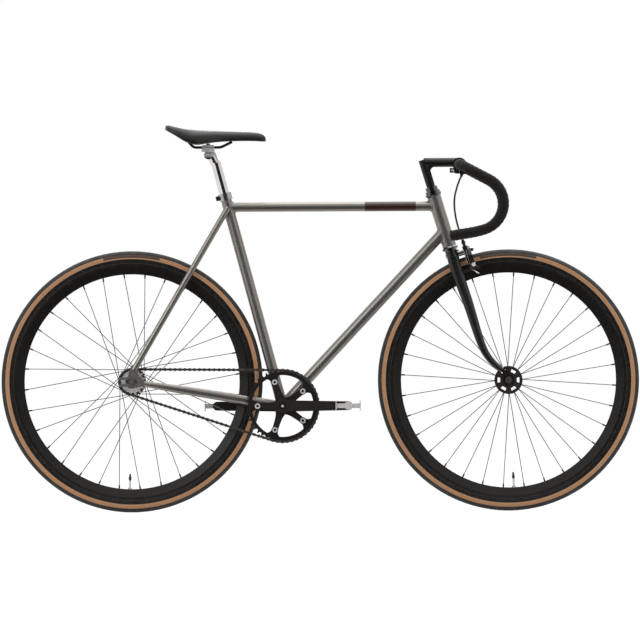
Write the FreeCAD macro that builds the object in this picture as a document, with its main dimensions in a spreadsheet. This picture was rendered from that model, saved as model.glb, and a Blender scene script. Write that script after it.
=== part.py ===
import FreeCAD, Part
import Sketcher
import math
import os

# A fixed gear road bike, in millimetres.
# +X is forward, +Z is up, the drive side is towards -Y.
# The origin lies on the ground, midway between the wheel axles.

V = FreeCAD.Vector
Rotation = FreeCAD.Rotation
Placement = FreeCAD.Placement

SIZES = (
    # Whole bike
    ("wheelbase", 976.5),
    ("bottom_bracket_drop", 64.5),
    ("head_angle", 73),
    ("seat_angle", 75),
    ("fork_rake", 43),
    ("axle_to_crown", 364),
    ("sliding_clearance", 0.05),
    ("running_gap", 0.4),
    # Tyres and rims
    ("tyre_radius", 339),
    ("tyre_half_width", 14),
    ("tyre_wall", 3.5),
    ("bead_width", 3),
    ("tube_wall", 1),
    ("valve_radius", 3),
    ("valve_length", 56),
    ("rim_flange_radius", 317),
    ("rim_inner_radius", 278.7),
    ("rim_width", 20),
    ("rim_nose_width", 8),
    ("rim_wall", 1.8),
    ("rim_flange_height", 6),
    ("rim_well_depth", 1.5),
    ("brake_track_height", 17),
    # Spokes
    ("spokes_per_side", 16),
    ("spoke_radius", 1),
    ("spoke_head_radius", 1.9),
    ("spoke_head_height", 1.2),
    ("nipple_radius", 2),
    ("nipple_head_radius", 3),
    ("nipple_head_height", 2),
    ("nipple_length", 12),
    ("nipple_access_radius", 4),
    ("front_lacing_turn", 5.625),
    ("rear_lacing_turn", 67.5),
    ("front_spoke_phase", 92.55),
    ("rear_spoke_phase", 285.4),
    ("front_valve_angle", 272.6),
    ("rear_valve_angle", 268.5),
    # Hubs and axles
    ("hub_flange_radius", 36.5),
    ("hub_flange_thickness", 3.2),
    ("spoke_circle_radius", 32.5),
    ("hub_barrel_radius", 15),
    ("hub_slot_radius", 25),
    ("hub_slot_width", 7),
    ("hub_slot_length", 14),
    ("hub_slot_count", 6),
    ("hub_end_radius", 17.4),
    ("front_flange_offset", 31),
    ("rear_flange_offset", 30),
    ("front_hub_half_length", 41),
    ("rear_hub_half_length", 50),
    ("bearing_outer_radius", 13),
    ("bearing_inner_radius", 6.5),
    ("bearing_width", 8),
    ("front_axle_radius", 4.5),
    ("rear_axle_radius", 5),
    ("front_over_locknut", 100),
    ("rear_over_locknut", 120),
    ("locknut_radius", 8.5),
    ("washer_radius", 9),
    ("washer_thickness", 1.5),
    ("axle_nut_size", 15),
    ("axle_nut_height", 8),
    ("axle_end_length", 5),
    ("axle_end_step", 0.6),
    # Frame tubes
    ("head_tube_radius", 18),
    ("head_tube_wall", 2.5),
    ("head_tube_length", 134.6),
    ("top_tube_radius", 12.7),
    ("top_tube_height", 791),
    ("down_tube_radius", 14.3),
    ("down_tube_rise", 42),
    ("seat_tube_radius", 14.3),
    ("seat_tube_length", 572),
    ("tube_wall_thickness", 0.9),
    ("bottom_bracket_radius", 20),
    ("bottom_bracket_bore_radius", 17.4),
    ("bottom_bracket_width", 68),
    ("seat_stay_radius", 8),
    ("seat_stay_top_offset", 16.5),
    ("seat_stay_foot_forward", 4.5),
    ("seat_stay_foot_rise", 30),
    ("chain_stay_root_height", 24),
    ("chain_stay_foot_height", 14),
    ("chain_stay_root_width", 15),
    ("chain_stay_foot_width", 12),
    ("chain_stay_root_station", 14),
    ("chain_stay_root_offset", 21.5),
    ("chain_stay_tyre_offset", 26.5),
    ("chain_stay_ring_offset", 30),
    ("chain_stay_tyre_station", 56),
    ("chain_stay_ring_station", 110),
    ("stay_overlap", 32),
    ("dropout_tongue", 4),
    ("stay_plug_length", 24),
    ("bridge_radius", 5),
    ("seat_stay_bridge_distance", 353),
    ("chain_stay_bridge_distance", 40),
    ("rear_dropout_thickness", 6),
    ("rear_slot_forward", 12),
    ("rear_slot_back", 34),
    # Headset and steerer
    ("steerer_radius", 12.7),
    ("quill_radius", 11.1),
    ("crown_race_height", 3.4),
    ("crown_race_radius", 16.8),
    ("lower_stack", 12.8),
    ("headset_cup_radius", 21.5),
    ("headset_cup_height", 9),
    ("cup_insert_depth", 8),
    ("headset_ball_ring_radius", 16),
    ("adjusting_race_height", 6),
    ("locknut_height", 11),
    ("headset_locknut_radius", 16),
    # Fork
    ("crown_height", 19),
    ("crown_depth", 31),
    ("blade_spread", 30),
    ("blade_top_depth", 31),
    ("blade_top_width", 18),
    ("blade_tip_depth", 15),
    ("blade_tip_width", 14),
    ("blade_taper_power", 1.3),
    ("blade_wall", 1.2),
    ("blade_set_forward", 3),
    ("blade_bend_start", 118),
    ("blade_bend_radius", 138),
    ("blade_bend_angle", 40),
    ("fork_tip_thickness", 5),
    # Stem, bar and tape
    ("stem_height", 904.3),
    ("stem_radius", 12),
    ("quill_insert", 70),
    ("bar_clamp_forward", 363.8),
    ("bar_clamp_height", 898.8),
    ("bar_clamp_radius", 18),
    ("bar_clamp_width", 38),
    ("bar_radius", 12),
    ("bar_wall", 2),
    ("tape_thickness", 1.8),
    ("tape_start", 104),
    ("drop_spread", 200),
    ("bar_corner_radius", 52),
    ("ramp_angle", 27.8),
    ("ramp_length", 34),
    ("hook_radius", 70),
    ("hook_turn", 135),
    ("drop_radius", 250),
    ("drop_turn", 8),
    ("drop_length", 55),
    # Front brake
    ("brake_bolt_station", 353),
    ("brake_bolt_radius", 3),
    ("brake_arm_thickness", 8),
    ("brake_rear_face", 33),
    ("brake_boss_radius", 10),
    ("brake_spacer_radius", 9.5),
    ("brake_nut_size", 10),
    ("brake_nut_height", 6),
    ("brake_back_nut_height", 1.6),
    ("brake_arm_width", 13),
    ("pad_station", 303),
    ("pad_gap", 1.95),
    ("pad_thickness", 8),
    ("pad_height", 8),
    ("pad_length", 46),
    ("pad_stud_radius", 3),
    ("cable_offset", 47),
    ("cable_radius", 0.8),
    ("housing_radius", 2.5),
    ("adjuster_radius", 4),
    ("adjuster_length", 30),
    ("anchor_radius", 5),
    ("spring_wire_radius", 1.2),
    # Brake lever
    ("lever_station", 72),
    ("lever_band_width", 14),
    ("lever_band_thickness", 3.5),
    ("lever_blade_length", 84),
    ("lever_blade_thickness", 7),
    ("lever_pivot_forward", 26),
    ("lever_drop", 16),
    ("lever_eye_height", 9),
    ("lever_eye_radius", 7),
    ("lever_pin_radius", 2.5),
    ("lever_ear_length", 17),
    ("lever_ear_width", 12),
    ("lever_ear_height", 13),
    ("cable_exit_tilt", 23),
    # Drive
    ("chain_pitch", 12.7),
    ("chain_links", 94),
    ("roller_radius", 3.9),
    ("chain_plate_radius", 4.2),
    ("chain_plate_thickness", 1),
    ("chain_inner_width", 3.5),
    ("chain_pin_radius", 1.8),
    ("chain_line", 42.5),
    ("sprocket_thickness", 3),
    ("tooth_height", 2.6),
    ("chainring_teeth", 46),
    ("cog_teeth", 16),
    ("chainring_window_radius", 80),
    ("ring_bolt_circle", 130),
    ("ring_bolt_count", 5),
    ("ring_bolt_radius", 5),
    ("ring_bolt_head_radius", 7),
    ("ring_bolt_head_height", 1.6),
    ("ring_tab_radius", 9),
    ("spider_thickness", 6),
    ("spider_arm_width", 15),
    ("lockring_radius", 19.5),
    ("lockring_width", 4),
    # Cranks and pedals
    ("crank_length", 170),
    ("crank_root_width", 30),
    ("crank_tip_radius", 11.5),
    ("crank_boss_radius", 19),
    ("crank_inner_face", 40),
    ("crank_arm_inner_face", 55),
    ("crank_outer_face", 68),
    ("spindle_radius", 8.5),
    ("spindle_square", 11.8),
    ("spindle_half_length", 60),
    ("cup_flange_radius", 21.5),
    ("cup_flange_width", 3),
    ("cup_depth", 16),
    ("crank_cap_radius", 9),
    ("crank_cap_height", 6),
    ("pedal_axle_radius", 6),
    ("pedal_shaft_radius", 5),
    ("pedal_collar_radius", 8.5),
    ("pedal_collar_width", 5),
    ("pedal_width", 92),
    ("pedal_depth", 65),
    ("pedal_height", 27),
    ("pedal_barrel_radius", 10),
    ("pedal_bar_width", 9),
    ("pedal_bar_height", 12),
    ("cage_thickness", 2.5),
    # Seat
    ("seatpost_radius", 13.6),
    ("seatpost_wall", 2.4),
    ("seatpost_insert", 160),
    ("seatpost_rise", 654),
    ("seat_collar_radius", 18.2),
    ("seat_collar_height", 18),
    ("seat_bolt_radius", 2.5),
    ("rail_radius", 3.5),
    ("rail_tail_forward", -318),
    ("rail_tail_drop", 50),
    ("rail_tail_run", 12),
    ("rail_tail_radius", 18),
    ("rail_nose_forward", -262),
    ("rail_nose_rise", 26),
    ("rail_nose_radius", 30),
    ("rail_nose_run", 26),
    ("rail_spread", 18),
    ("rail_height", 946),
    ("rail_clamp_forward", -288),
    ("clamp_length", 34),
    ("clamp_width", 56),
    ("clamp_bed_height", 11.2),
    ("clamp_lid_height", 6),
    ("clamp_split", 0.4),
    ("clamp_bolt_radius", 3),
    ("clamp_bolt_length", 38),
    ("cradle_radius", 11),
    ("cradle_width", 34),
    ("saddle_padding", 7),
    ("saddle_base_thickness", 4),
)

doc = FreeCAD.newDocument("fixed_gear_bike")
sheet = doc.addObject("Spreadsheet::Sheet", "sizes")
for row, (alias, number) in enumerate(SIZES, start=1):
    sheet.set(f"A{row}", alias.replace("_", " "))
    sheet.set(f"B{row}", str(number))
    sheet.setAlias(f"B{row}", alias)
doc.recompute()


class Size:
    """A length together with the sheet expression that it follows."""

    def __init__(self, number, text):
        self.number = float(number)
        self.text = text

    def __float__(self):
        return self.number

    def joined(self, other, sign, result):
        text = other.text if isinstance(other, Size) else repr(float(other))
        return Size(result, f"({self.text} {sign} {text})")

    def __add__(self, other):
        return self.joined(other, "+", self.number + float(other))

    def __sub__(self, other):
        return self.joined(other, "-", self.number - float(other))

    def __mul__(self, other):
        return self.joined(other, "*", self.number * float(other))

    def __truediv__(self, other):
        return self.joined(other, "/", self.number / float(other))

    def __neg__(self):
        return Size(-self.number, f"(-1 * {self.text})")


class Sizes:
    """The sheet's sizes by name: bound ones as attributes, plain numbers by call."""

    def __getattr__(self, alias):
        return Size(sheet.get(alias), f"sizes.{alias}")

    def __call__(self, alias):
        return float(sheet.get(alias))


size = Sizes()
NODES = []


def node(piece, label):
    """Give a finished sub-part the name that its file takes."""
    piece.Label = label
    NODES.append(piece)
    return piece


def bind(piece, prop, length):
    """Set a property from a number, or tie it to the sheet."""
    if isinstance(length, Size):
        piece.setExpression(prop, length.text)
    else:
        setattr(piece, prop, float(length))


def facing(point, direction):
    """Place a piece at a point with its own Z along a direction."""
    return Placement(point, Rotation(V(0, 0, 1), direction))


# Pieces drawn in the side view: own X forward, own Y up, own Z out to the drive side
DRIVE_SIDE = Rotation(V(1, 0, 0), 90)
# The same on the other side: own X to the rear, own Y up, own Z out to the left
LEFT_SIDE = Rotation(V(0, 0, 1), 180).multiply(DRIVE_SIDE)


def new_sketch(body, name, role):
    """Add a sketch on one of the body's own origin planes."""
    plane = next(part for part in body.Origin.OriginFeatures if part.Role == role)
    sketch = body.newObject("Sketcher::SketchObject", name)
    sketch.AttachmentSupport = [(plane, "")]
    sketch.MapMode = "FlatFace"
    return sketch


def pin_point(sketch, geometry, end, across, along):
    """Hold one point of a sketch at its two distances from the sketch origin."""
    for kind, distance in (("DistanceX", across), ("DistanceY", along)):
        rule = Sketcher.Constraint(kind, -1, 1, geometry, end, float(distance))
        index = sketch.addConstraint(rule)
        if isinstance(distance, Size):
            sketch.setExpression(f"Constraints[{index}]", distance.text)


def draw_outline(sketch, corners):
    """Draw a closed straight-sided outline."""
    first = sketch.GeometryCount
    count = len(corners)
    points = [V(float(across), float(along), 0) for across, along in corners]
    for index, start in enumerate(points):
        sketch.addGeometry(Part.LineSegment(start, points[(index + 1) % count]), False)
    for index, (across, along) in enumerate(corners):
        following = first + (index + 1) % count
        sketch.addConstraint(Sketcher.Constraint("Coincident", first + index, 2, following, 1))
        pin_point(sketch, first + index, 1, across, along)


def draw_circle(sketch, across, along, radius):
    """Draw a circle with a tied radius and centre."""
    circle = Part.Circle(V(float(across), float(along), 0), V(0, 0, 1), float(radius))
    index = sketch.addGeometry(circle, False)
    rule = sketch.addConstraint(Sketcher.Constraint("Radius", index, float(radius)))
    if isinstance(radius, Size):
        sketch.setExpression(f"Constraints[{rule}]", radius.text)
    pin_point(sketch, index, 3, across, along)


def new_body(name):
    return doc.addObject("PartDesign::Body", name)


def turned(name, *outlines):
    """A body turned about its own Z from outlines of (radius, height) corners."""
    body = new_body(name)
    sketch = new_sketch(body, f"{name}_section", "XZ_Plane")
    for corners in outlines:
        draw_outline(sketch, corners)
    turn = body.newObject("PartDesign::Revolution", f"{name}_turned")
    turn.Profile = sketch
    turn.ReferenceAxis = (sketch, ["V_Axis"])
    turn.Angle = 360
    return body


def lift(sketch, height, turn):
    """Raise a sketch above its plane and turn it in its plane."""
    sketch.AttachmentOffset = Placement(V(0, 0, float(height)), Rotation(V(0, 0, 1), turn))
    if isinstance(height, Size):
        sketch.setExpression("AttachmentOffset.Base.z", height.text)


def add_pad(body, name, draw, length, start=0, turn=0):
    """Pad an outline upwards from a height above the body's own XY plane."""
    sketch = new_sketch(body, f"{name}_outline", "XY_Plane")
    draw(sketch)
    lift(sketch, start, turn)
    pad = body.newObject("PartDesign::Pad", name)
    pad.Profile = sketch
    bind(pad, "Length", length)
    return pad


def add_pocket(body, name, draw, start=0, turn=0):
    """Cut an outline right through the body, upwards from a height."""
    sketch = new_sketch(body, f"{name}_outline", "XY_Plane")
    draw(sketch)
    lift(sketch, start, turn)
    pocket = body.newObject("PartDesign::Pocket", name)
    pocket.Profile = sketch
    pocket.Type = "ThroughAll"
    pocket.Midplane = True
    return pocket


def repeat_round(body, name, features, count):
    """Repeat features round the body's own Z."""
    pattern = body.newObject("PartDesign::PolarPattern", name)
    pattern.Originals = features
    axis = next(part for part in body.Origin.OriginFeatures if part.Role == "Z_Axis")
    pattern.Axis = (axis, [""])
    pattern.Angle = 360
    pattern.setExpression("Occurrences", count.text)
    body.Tip = pattern
    return pattern


def rod(name, radius, length, place):
    """A plain round bar standing on its placement."""
    bar = doc.addObject("Part::Cylinder", name)
    bind(bar, "Radius", radius)
    bind(bar, "Height", length)
    bar.Placement = place
    return bar


def rod_between(name, radius, start, end):
    """A plain round bar from one point to another."""
    return rod(name, radius, (end - start).Length, facing(start, end - start))


def block(name, length, width, height, place):
    """A rectangular block, centred on its placement in X and Y and standing on it."""
    box = doc.addObject("Part::Box", name)
    bind(box, "Length", length)
    bind(box, "Width", width)
    bind(box, "Height", height)
    box.Placement = place.multiply(Placement(V(-float(length) / 2, -float(width) / 2, 0), Rotation()))
    return box


def hexagon(name, across_flats, height, place):
    """A six-sided nut blank."""
    prism = doc.addObject("Part::Prism", name)
    prism.Polygon = 6
    bind(prism, "Circumradius", across_flats / math.sqrt(3))
    bind(prism, "Height", height)
    prism.Placement = place
    return prism


def cut(name, base, *tools):
    """Cut each tool out of a piece in turn."""
    for index, tool in enumerate(tools):
        piece = doc.addObject("Part::Cut", f"{name}_cut{index}")
        piece.Base = base
        piece.Tool = tool
        base = piece
    return base


def fuse(name, *pieces):
    """Join pieces into one solid."""
    joined = doc.addObject("Part::MultiFuse", f"{name}_joined")
    joined.Shapes = list(pieces)
    joined.Refine = True
    return joined


def group(name, *pieces):
    """Hold separate solids together in one node."""
    held = doc.addObject("Part::Compound", f"{name}_group")
    held.Links = list(pieces)
    return held


def computed(name, shape, place=None):
    """A piece whose shape is worked out in code."""
    piece = doc.addObject("Part::Feature", name)
    piece.Shape = shape
    piece.Placement = place or Placement()
    return piece


def bent_path(start, heading, moves):
    """A wire of straight runs and tangent arcs.

    A move is (length,) for a run, or (radius, degrees, axis) for a bend about an axis.
    """
    point = V(start)
    heading = V(heading).normalize()
    edges = []
    for move in moves:
        if len(move) == 1:
            end = point + heading * move[0]
            edges.append(Part.LineSegment(point, end).toShape())
            point = end
            continue
        radius, degrees, axis = move
        centre = point + V(axis).cross(heading).normalize() * math.copysign(radius, degrees)
        arm = point - centre
        middle = centre + Rotation(axis, degrees / 2).multVec(arm)
        end = centre + Rotation(axis, degrees).multVec(arm)
        edges.append(Part.Arc(point, middle, end).toShape())
        heading = Rotation(axis, degrees).multVec(heading)
        point = end
    return Part.Wire(edges), point, heading


def swept_tube(path, heading, radius, bore=0):
    """A round tube along a wire, with a bore where one is given."""
    start = path.OrderedVertexes[0].Point
    shapes = []
    for reach in (radius, bore):
        if reach > 0:
            ring = Part.Wire(Part.Circle(start, heading, reach).toShape())
            shapes.append(path.makePipeShell([ring], True, False))
    return shapes[0].cut(shapes[1]) if bore > 0 else shapes[0]


def oval_loft(stations):
    """A solid lofted through ovals: (centre, long axis, short axis, half depth, half width)."""
    rings = []
    for centre, long_axis, short_axis, half_depth, half_width in stations:
        oval = Part.Ellipse(centre + long_axis * half_depth, centre + short_axis * half_width, centre)
        rings.append(Part.Wire(oval.toShape()))
    return Part.makeLoft(rings, True)


def hollow_loft(stations, wall, plug_at, plug_radius):
    """The same with a bore that leaves an even wall and a solid foot round a point."""
    inner = []
    for centre, deep, wide, depth, width in stations:
        inner.append((centre, deep, wide, depth - wall, width - wall))
    return oval_loft(stations).cut(oval_loft(inner).cut(Part.makeSphere(plug_radius, plug_at)))


# Chain line: rollers are marched one pitch at a time round ring and cog

def pitch_radius(teeth):
    return size("chain_pitch") / (2 * math.sin(math.pi / teeth))


RING_RADIUS = pitch_radius(size("chainring_teeth"))
COG_RADIUS = pitch_radius(size("cog_teeth"))


def chain_lap(spacing):
    """Tilt of the upper run, its length, and the two wrapped lengths."""
    tilt = math.asin((RING_RADIUS - COG_RADIUS) / spacing)
    run = spacing * math.cos(tilt)
    return tilt, run, COG_RADIUS * (math.pi - 2 * tilt), RING_RADIUS * (math.pi + 2 * tilt)


def chain_point(spacing, travel):
    """A point of the pitch line; the ring is at the origin and the cog at X = spacing."""
    tilt, run, cog_wrap, ring_wrap = chain_lap(spacing)
    travel %= 2 * run + cog_wrap + ring_wrap
    lean = math.pi / 2 - tilt
    if travel < run:
        return V(math.cos(lean), math.sin(lean)) * RING_RADIUS + V(math.cos(tilt), -math.sin(tilt)) * travel
    travel -= run
    if travel < cog_wrap:
        turn = lean - travel / COG_RADIUS
        return V(spacing, 0) + V(math.cos(turn), math.sin(turn)) * COG_RADIUS
    travel -= cog_wrap
    if travel < run:
        foot = V(spacing, 0) + V(math.cos(lean), -math.sin(lean)) * COG_RADIUS
        return foot - V(math.cos(tilt), math.sin(tilt)) * travel
    turn = -lean - (travel - run) / RING_RADIUS
    return V(math.cos(turn), math.sin(turn)) * RING_RADIUS


def solve(error, low, high):
    """Halve a span until the error's sign change is found."""
    rising = error(high) > error(low)
    for step in range(60):
        middle = (low + high) / 2
        if (error(middle) > 0) == rising:
            high = middle
        else:
            low = middle
    return (low + high) / 2


def march_chain(spacing):
    """Travel of each roller, one pitch from the last, and of the one that closes the chain."""
    pitch = size("chain_pitch")
    travels = [0.0]
    for link in range(int(size("chain_links"))):
        here = chain_point(spacing, travels[-1])

        def step_error(travel):
            return (chain_point(spacing, travel) - here).Length - pitch

        travels.append(solve(step_error, travels[-1] + 0.8 * pitch, travels[-1] + 1.2 * pitch))
    return travels


def closing_error(spacing):
    tilt, run, cog_wrap, ring_wrap = chain_lap(spacing)
    return 2 * run + cog_wrap + ring_wrap - march_chain(spacing)[-1]


free_pitches = size("chain_links") - (size("chainring_teeth") + size("cog_teeth")) / 2
chain_spread = free_pitches * size("chain_pitch")
CHAIN_STAY = solve(closing_error, chain_spread * 0.47, chain_spread * 0.51)

# Places that everything else hangs on, in the bike's middle plane

AXLE_HEIGHT = size("tyre_radius")
REAR_AXLE = V(-size("wheelbase") / 2, 0, AXLE_HEIGHT)
FRONT_AXLE = V(size("wheelbase") / 2, 0, AXLE_HEIGHT)
bracket_reach = math.sqrt(CHAIN_STAY ** 2 - size("bottom_bracket_drop") ** 2)
BRACKET = REAR_AXLE + V(bracket_reach, 0, -size("bottom_bracket_drop"))
STAY_LINE = (REAR_AXLE - BRACKET).normalize()
STAY_UP = V(0, 1, 0).cross(STAY_LINE)
STAY_UP = STAY_UP if STAY_UP.z > 0 else -STAY_UP

head_lean = math.radians(size("head_angle"))
STEER = V(-math.cos(head_lean), 0, math.sin(head_lean))
AHEAD = V(math.sin(head_lean), 0, math.cos(head_lean))
ACROSS = V(0, 1, 0)
STEER_FOOT = FRONT_AXLE - AHEAD * size("fork_rake")

seat_lean = math.radians(size("seat_angle"))
SEAT_LINE = V(-math.cos(seat_lean), 0, math.sin(seat_lean))
SEAT_AHEAD = V(math.sin(seat_lean), 0, math.cos(seat_lean))


def on_steer(station, ahead=0, across=0):
    """A point by its station up the steering axis, from level with the front axle."""
    return STEER_FOOT + STEER * station + AHEAD * ahead + ACROSS * across


def on_seat_tube(station):
    return BRACKET + SEAT_LINE * station


def at_height(start, direction, height):
    """Where a line from a point reaches a height."""
    return start + direction * ((height - start.z) / direction.z)


HEAD_BOTTOM = size("axle_to_crown") + size("lower_stack")
HEAD_TOP = HEAD_BOTTOM + size("head_tube_length")
STEER_FRAME = Placement(STEER_FOOT, Rotation(AHEAD, ACROSS, STEER, "ZXY"))
SEAT_FRAME = Placement(BRACKET, Rotation(SEAT_AHEAD, ACROSS, SEAT_LINE, "ZXY"))


def on_frame(frame, station, ahead=0, across=0):
    """A placement turned with a frame, at a station up its axis."""
    return frame.multiply(Placement(V(ahead, across, station), Rotation()))


# Main tubes

def tube(name, radius, wall, start, end, *mitres):
    """A round tube from axis to axis, mitred by what it meets."""
    outside = rod_between(f"{name}_outside", radius, start, end)
    bore = rod_between(f"{name}_bore", radius - wall, start, end)
    return node(cut(name, outside, bore, *mitres), name)


def make_main_tubes():
    half_shell = size("bottom_bracket_width") / 2
    head_bottom = on_steer(HEAD_BOTTOM)
    head_solid = rod_between("head_envelope", size.head_tube_radius, head_bottom, on_steer(HEAD_TOP))
    seat_top = on_seat_tube(size("seat_tube_length"))
    seat_solid = rod_between("seat_envelope", size.seat_tube_radius, BRACKET, seat_top)
    shell_ends = (BRACKET - ACROSS * half_shell, BRACKET + ACROSS * half_shell)
    shell_solid = rod_between("shell_envelope", size.bottom_bracket_radius, *shell_ends)

    tube("head_tube", size.head_tube_radius, size.head_tube_wall, on_steer(HEAD_BOTTOM), on_steer(HEAD_TOP))
    shell_wall = size.bottom_bracket_radius - size.bottom_bracket_bore_radius
    tube("bottom_bracket_shell", size.bottom_bracket_radius, shell_wall, *shell_ends)
    seat_wall = size.seat_tube_radius - size.seatpost_radius - size.sliding_clearance
    tube("seat_tube", size.seat_tube_radius, seat_wall, BRACKET, seat_top, shell_solid)

    top_back = at_height(BRACKET, SEAT_LINE, size("top_tube_height"))
    top_front = at_height(STEER_FOOT, STEER, size("top_tube_height"))
    wall = size.tube_wall_thickness
    tube("top_tube", size.top_tube_radius, wall, top_back, top_front, seat_solid, head_solid)
    down_front = on_steer(HEAD_BOTTOM + size("down_tube_rise"))
    tube("down_tube", size.down_tube_radius, wall, BRACKET, down_front, shell_solid, head_solid, seat_solid)
    return shell_solid, seat_solid, top_back


# Rear triangle

def dropout_outline():
    """The rear track end in the side view, about the axle, without its slot."""
    stay_forward = -STAY_LINE
    root = stay_forward * (size("stay_overlap") + size("dropout_tongue"))
    half_root = STAY_UP * (size("chain_stay_foot_height") / 2 - 3)
    foot = V(size("seat_stay_foot_forward"), 0, size("seat_stay_foot_rise"))
    half_foot = size("seat_stay_radius") - 1.5
    back = -size("rear_slot_back")
    ear = 12
    corners = [
        V(back, 0, -ear),
        V(size("rear_slot_forward"), 0, -ear - 3),
        root - half_root,
        root + half_root,
        V(size("rear_slot_forward") + 6, 0, ear + 2),
        foot + V(half_foot, 0, 10),
        foot + V(-half_foot, 0, 12),
        V(-size("rear_slot_forward"), 0, ear),
        V(back, 0, ear),
    ]
    return corners


def make_dropout(name, side):
    """A track end with its slot open to the rear; side is -1 on the drive side."""
    thickness = size("rear_dropout_thickness")
    inner = side * size("rear_over_locknut") / 2
    corners = [REAR_AXLE + corner + ACROSS * inner for corner in dropout_outline()]
    plate = Part.Face(Part.makePolygon(corners + corners[:1])).extrude(ACROSS * side * thickness)
    half_slot = size("rear_axle_radius") + size("sliding_clearance") * 4
    slot_front = REAR_AXLE + V(size("rear_slot_forward") - half_slot, inner, 0)
    hole = Part.makeCylinder(half_slot, thickness, slot_front, ACROSS * side)
    length = size("rear_slot_back") + size("rear_slot_forward")
    corner = slot_front + V(-length, 0 if side > 0 else -thickness, -half_slot)
    gap = Part.makeBox(length, thickness, 2 * half_slot, corner)
    return computed(name, plate.cut(hole).cut(gap))


def chain_stay_stations(side):
    """Ovals along a chain stay, from the bracket shell out to the track end."""
    foot = CHAIN_STAY - size("stay_overlap")
    root_height = size("chain_stay_root_height") / 2
    root_width = size("chain_stay_root_width") / 2
    foot_offset = (size("rear_over_locknut") + size("rear_dropout_thickness")) / 2
    stations = (
        (size("chain_stay_root_station"), size("chain_stay_root_offset"), root_height, root_width),
        (size("chain_stay_tyre_station"), size("chain_stay_tyre_offset"), root_height, root_width),
        (size("chain_stay_ring_station"), size("chain_stay_ring_offset"), root_height, root_width),
        (foot, foot_offset, size("chain_stay_foot_height") / 2, size("chain_stay_foot_width") / 2),
    )
    for distance, offset, half_height, half_width in stations:
        centre = BRACKET + STAY_LINE * distance + ACROSS * side * offset
        yield centre, STAY_UP, ACROSS * side, half_height, half_width


def make_rear_triangle(shell_solid, seat_solid, top_back):
    wall = size("tube_wall_thickness")
    plates = {}
    chain_stays = []
    seat_stays = []
    chain_solids = []
    seat_solids = []
    for word, side in (("right", -1), ("left", 1)):
        plates[word] = make_dropout(f"dropout_{word}", side)
        stations = list(chain_stay_stations(side))
        chain_solids.append(computed(f"chain_stay_{word}_envelope", oval_loft(stations)))
        plug = size("stay_overlap") + size("stay_plug_length")
        plug_at = REAR_AXLE + ACROSS * side * (size("rear_over_locknut") / 2)
        stay = computed(f"chain_stay_{word}_tube", hollow_loft(stations, wall, plug_at, plug))
        chain_stays.append(cut(f"chain_stay_{word}", stay, shell_solid, seat_solid, plates[word]))

        middle = (size("rear_over_locknut") + size("rear_dropout_thickness")) / 2
        foot = REAR_AXLE + V(size("seat_stay_foot_forward"), side * middle, size("seat_stay_foot_rise"))
        top = top_back + ACROSS * side * size("seat_stay_top_offset")
        outside = rod_between(f"seat_stay_{word}_outside", size.seat_stay_radius, foot, top)
        bore_radius = size.seat_stay_radius - size.tube_wall_thickness
        bore = rod_between(f"seat_stay_{word}_bore", bore_radius, foot, top)
        seat_solids.append(outside)
        seat_stays.append(cut(f"seat_stay_{word}", outside, bore, seat_solid, plates[word]))

    chain_bridge = BRACKET + STAY_LINE * size("chain_stay_bridge_distance")
    reach = ACROSS * size("chain_stay_root_offset")
    bar = rod_between("chain_stay_bridge_bar", size.bridge_radius, chain_bridge - reach, chain_bridge + reach)
    chain_stays.append(cut("chain_stay_bridge", bar, *chain_solids))

    stay_line = (top - foot).normalize()
    rise = size("seat_stay_bridge_distance") - size("seat_stay_foot_rise")
    at_right = foot + stay_line * rise
    bar_end = V(at_right.x, abs(at_right.y), at_right.z)
    bar_start = V(at_right.x, -abs(at_right.y), at_right.z)
    bar = rod_between("seat_stay_bridge_bar", size.bridge_radius, bar_start, bar_end)
    seat_stays.append(cut("seat_stay_bridge", bar, *seat_solids))

    node(group("chain_stays", *chain_stays), "chain_stays")
    node(group("seat_stays", *seat_stays), "seat_stays")
    node(group("rear_dropouts", *plates.values()), "rear_dropouts")


# Fixed pieces on the frame

def make_seat_clamp():
    """A collar round the seat tube's top, closed by a bolt through two ears at the rear."""
    top = size("seat_tube_length")
    bottom = top - size("seat_collar_height")
    height = size.seat_collar_height
    ear_reach = 10
    ear_width = 18
    ear_height = 12
    slit = 2.5
    place = on_frame(SEAT_FRAME, bottom)
    ring = rod("seat_collar_ring", size.seat_collar_radius, height, place)
    ear_middle = -size("seat_collar_radius") - ear_reach / 2 + 3
    ears_place = on_frame(SEAT_FRAME, bottom + 3, ear_middle)
    ears = block("seat_collar_ears", ear_reach, ear_width, ear_height, ears_place)
    bore = rod("seat_collar_bore", size.seat_tube_radius + size.sliding_clearance, height, place)
    gap = block("seat_collar_slit", 2 * ear_reach, slit, height, on_frame(SEAT_FRAME, bottom, ear_middle - 2))
    bolt_at = on_frame(SEAT_FRAME, bottom + 3 + ear_height / 2, ear_middle - 1, -ear_width)
    bolt_place = bolt_at.multiply(Placement(V(), Rotation(V(0, 0, 1), V(0, 1, 0))))
    hole = rod("seat_bolt_hole", size.seat_bolt_radius + size.sliding_clearance, 2 * ear_width, bolt_place)
    collar = cut("seat_collar", fuse("seat_collar", ring, ears), bore, gap, hole)

    head_place = bolt_place.multiply(Placement(V(0, 0, ear_width / 2 - 4), Rotation()))
    head = rod("seat_bolt_head", size.seat_bolt_radius * 1.8, 4, head_place)
    shank = rod("seat_bolt_shank", size.seat_bolt_radius, ear_width + 6, head_place)
    nut = rod("seat_bolt_nut", size.seat_bolt_radius * 1.8, 4, head_place.multiply(
        Placement(V(0, 0, ear_width + 4), Rotation())))
    node(group("seat_clamp", collar, fuse("seat_bolt", head, shank, nut)), "seat_clamp")


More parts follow.
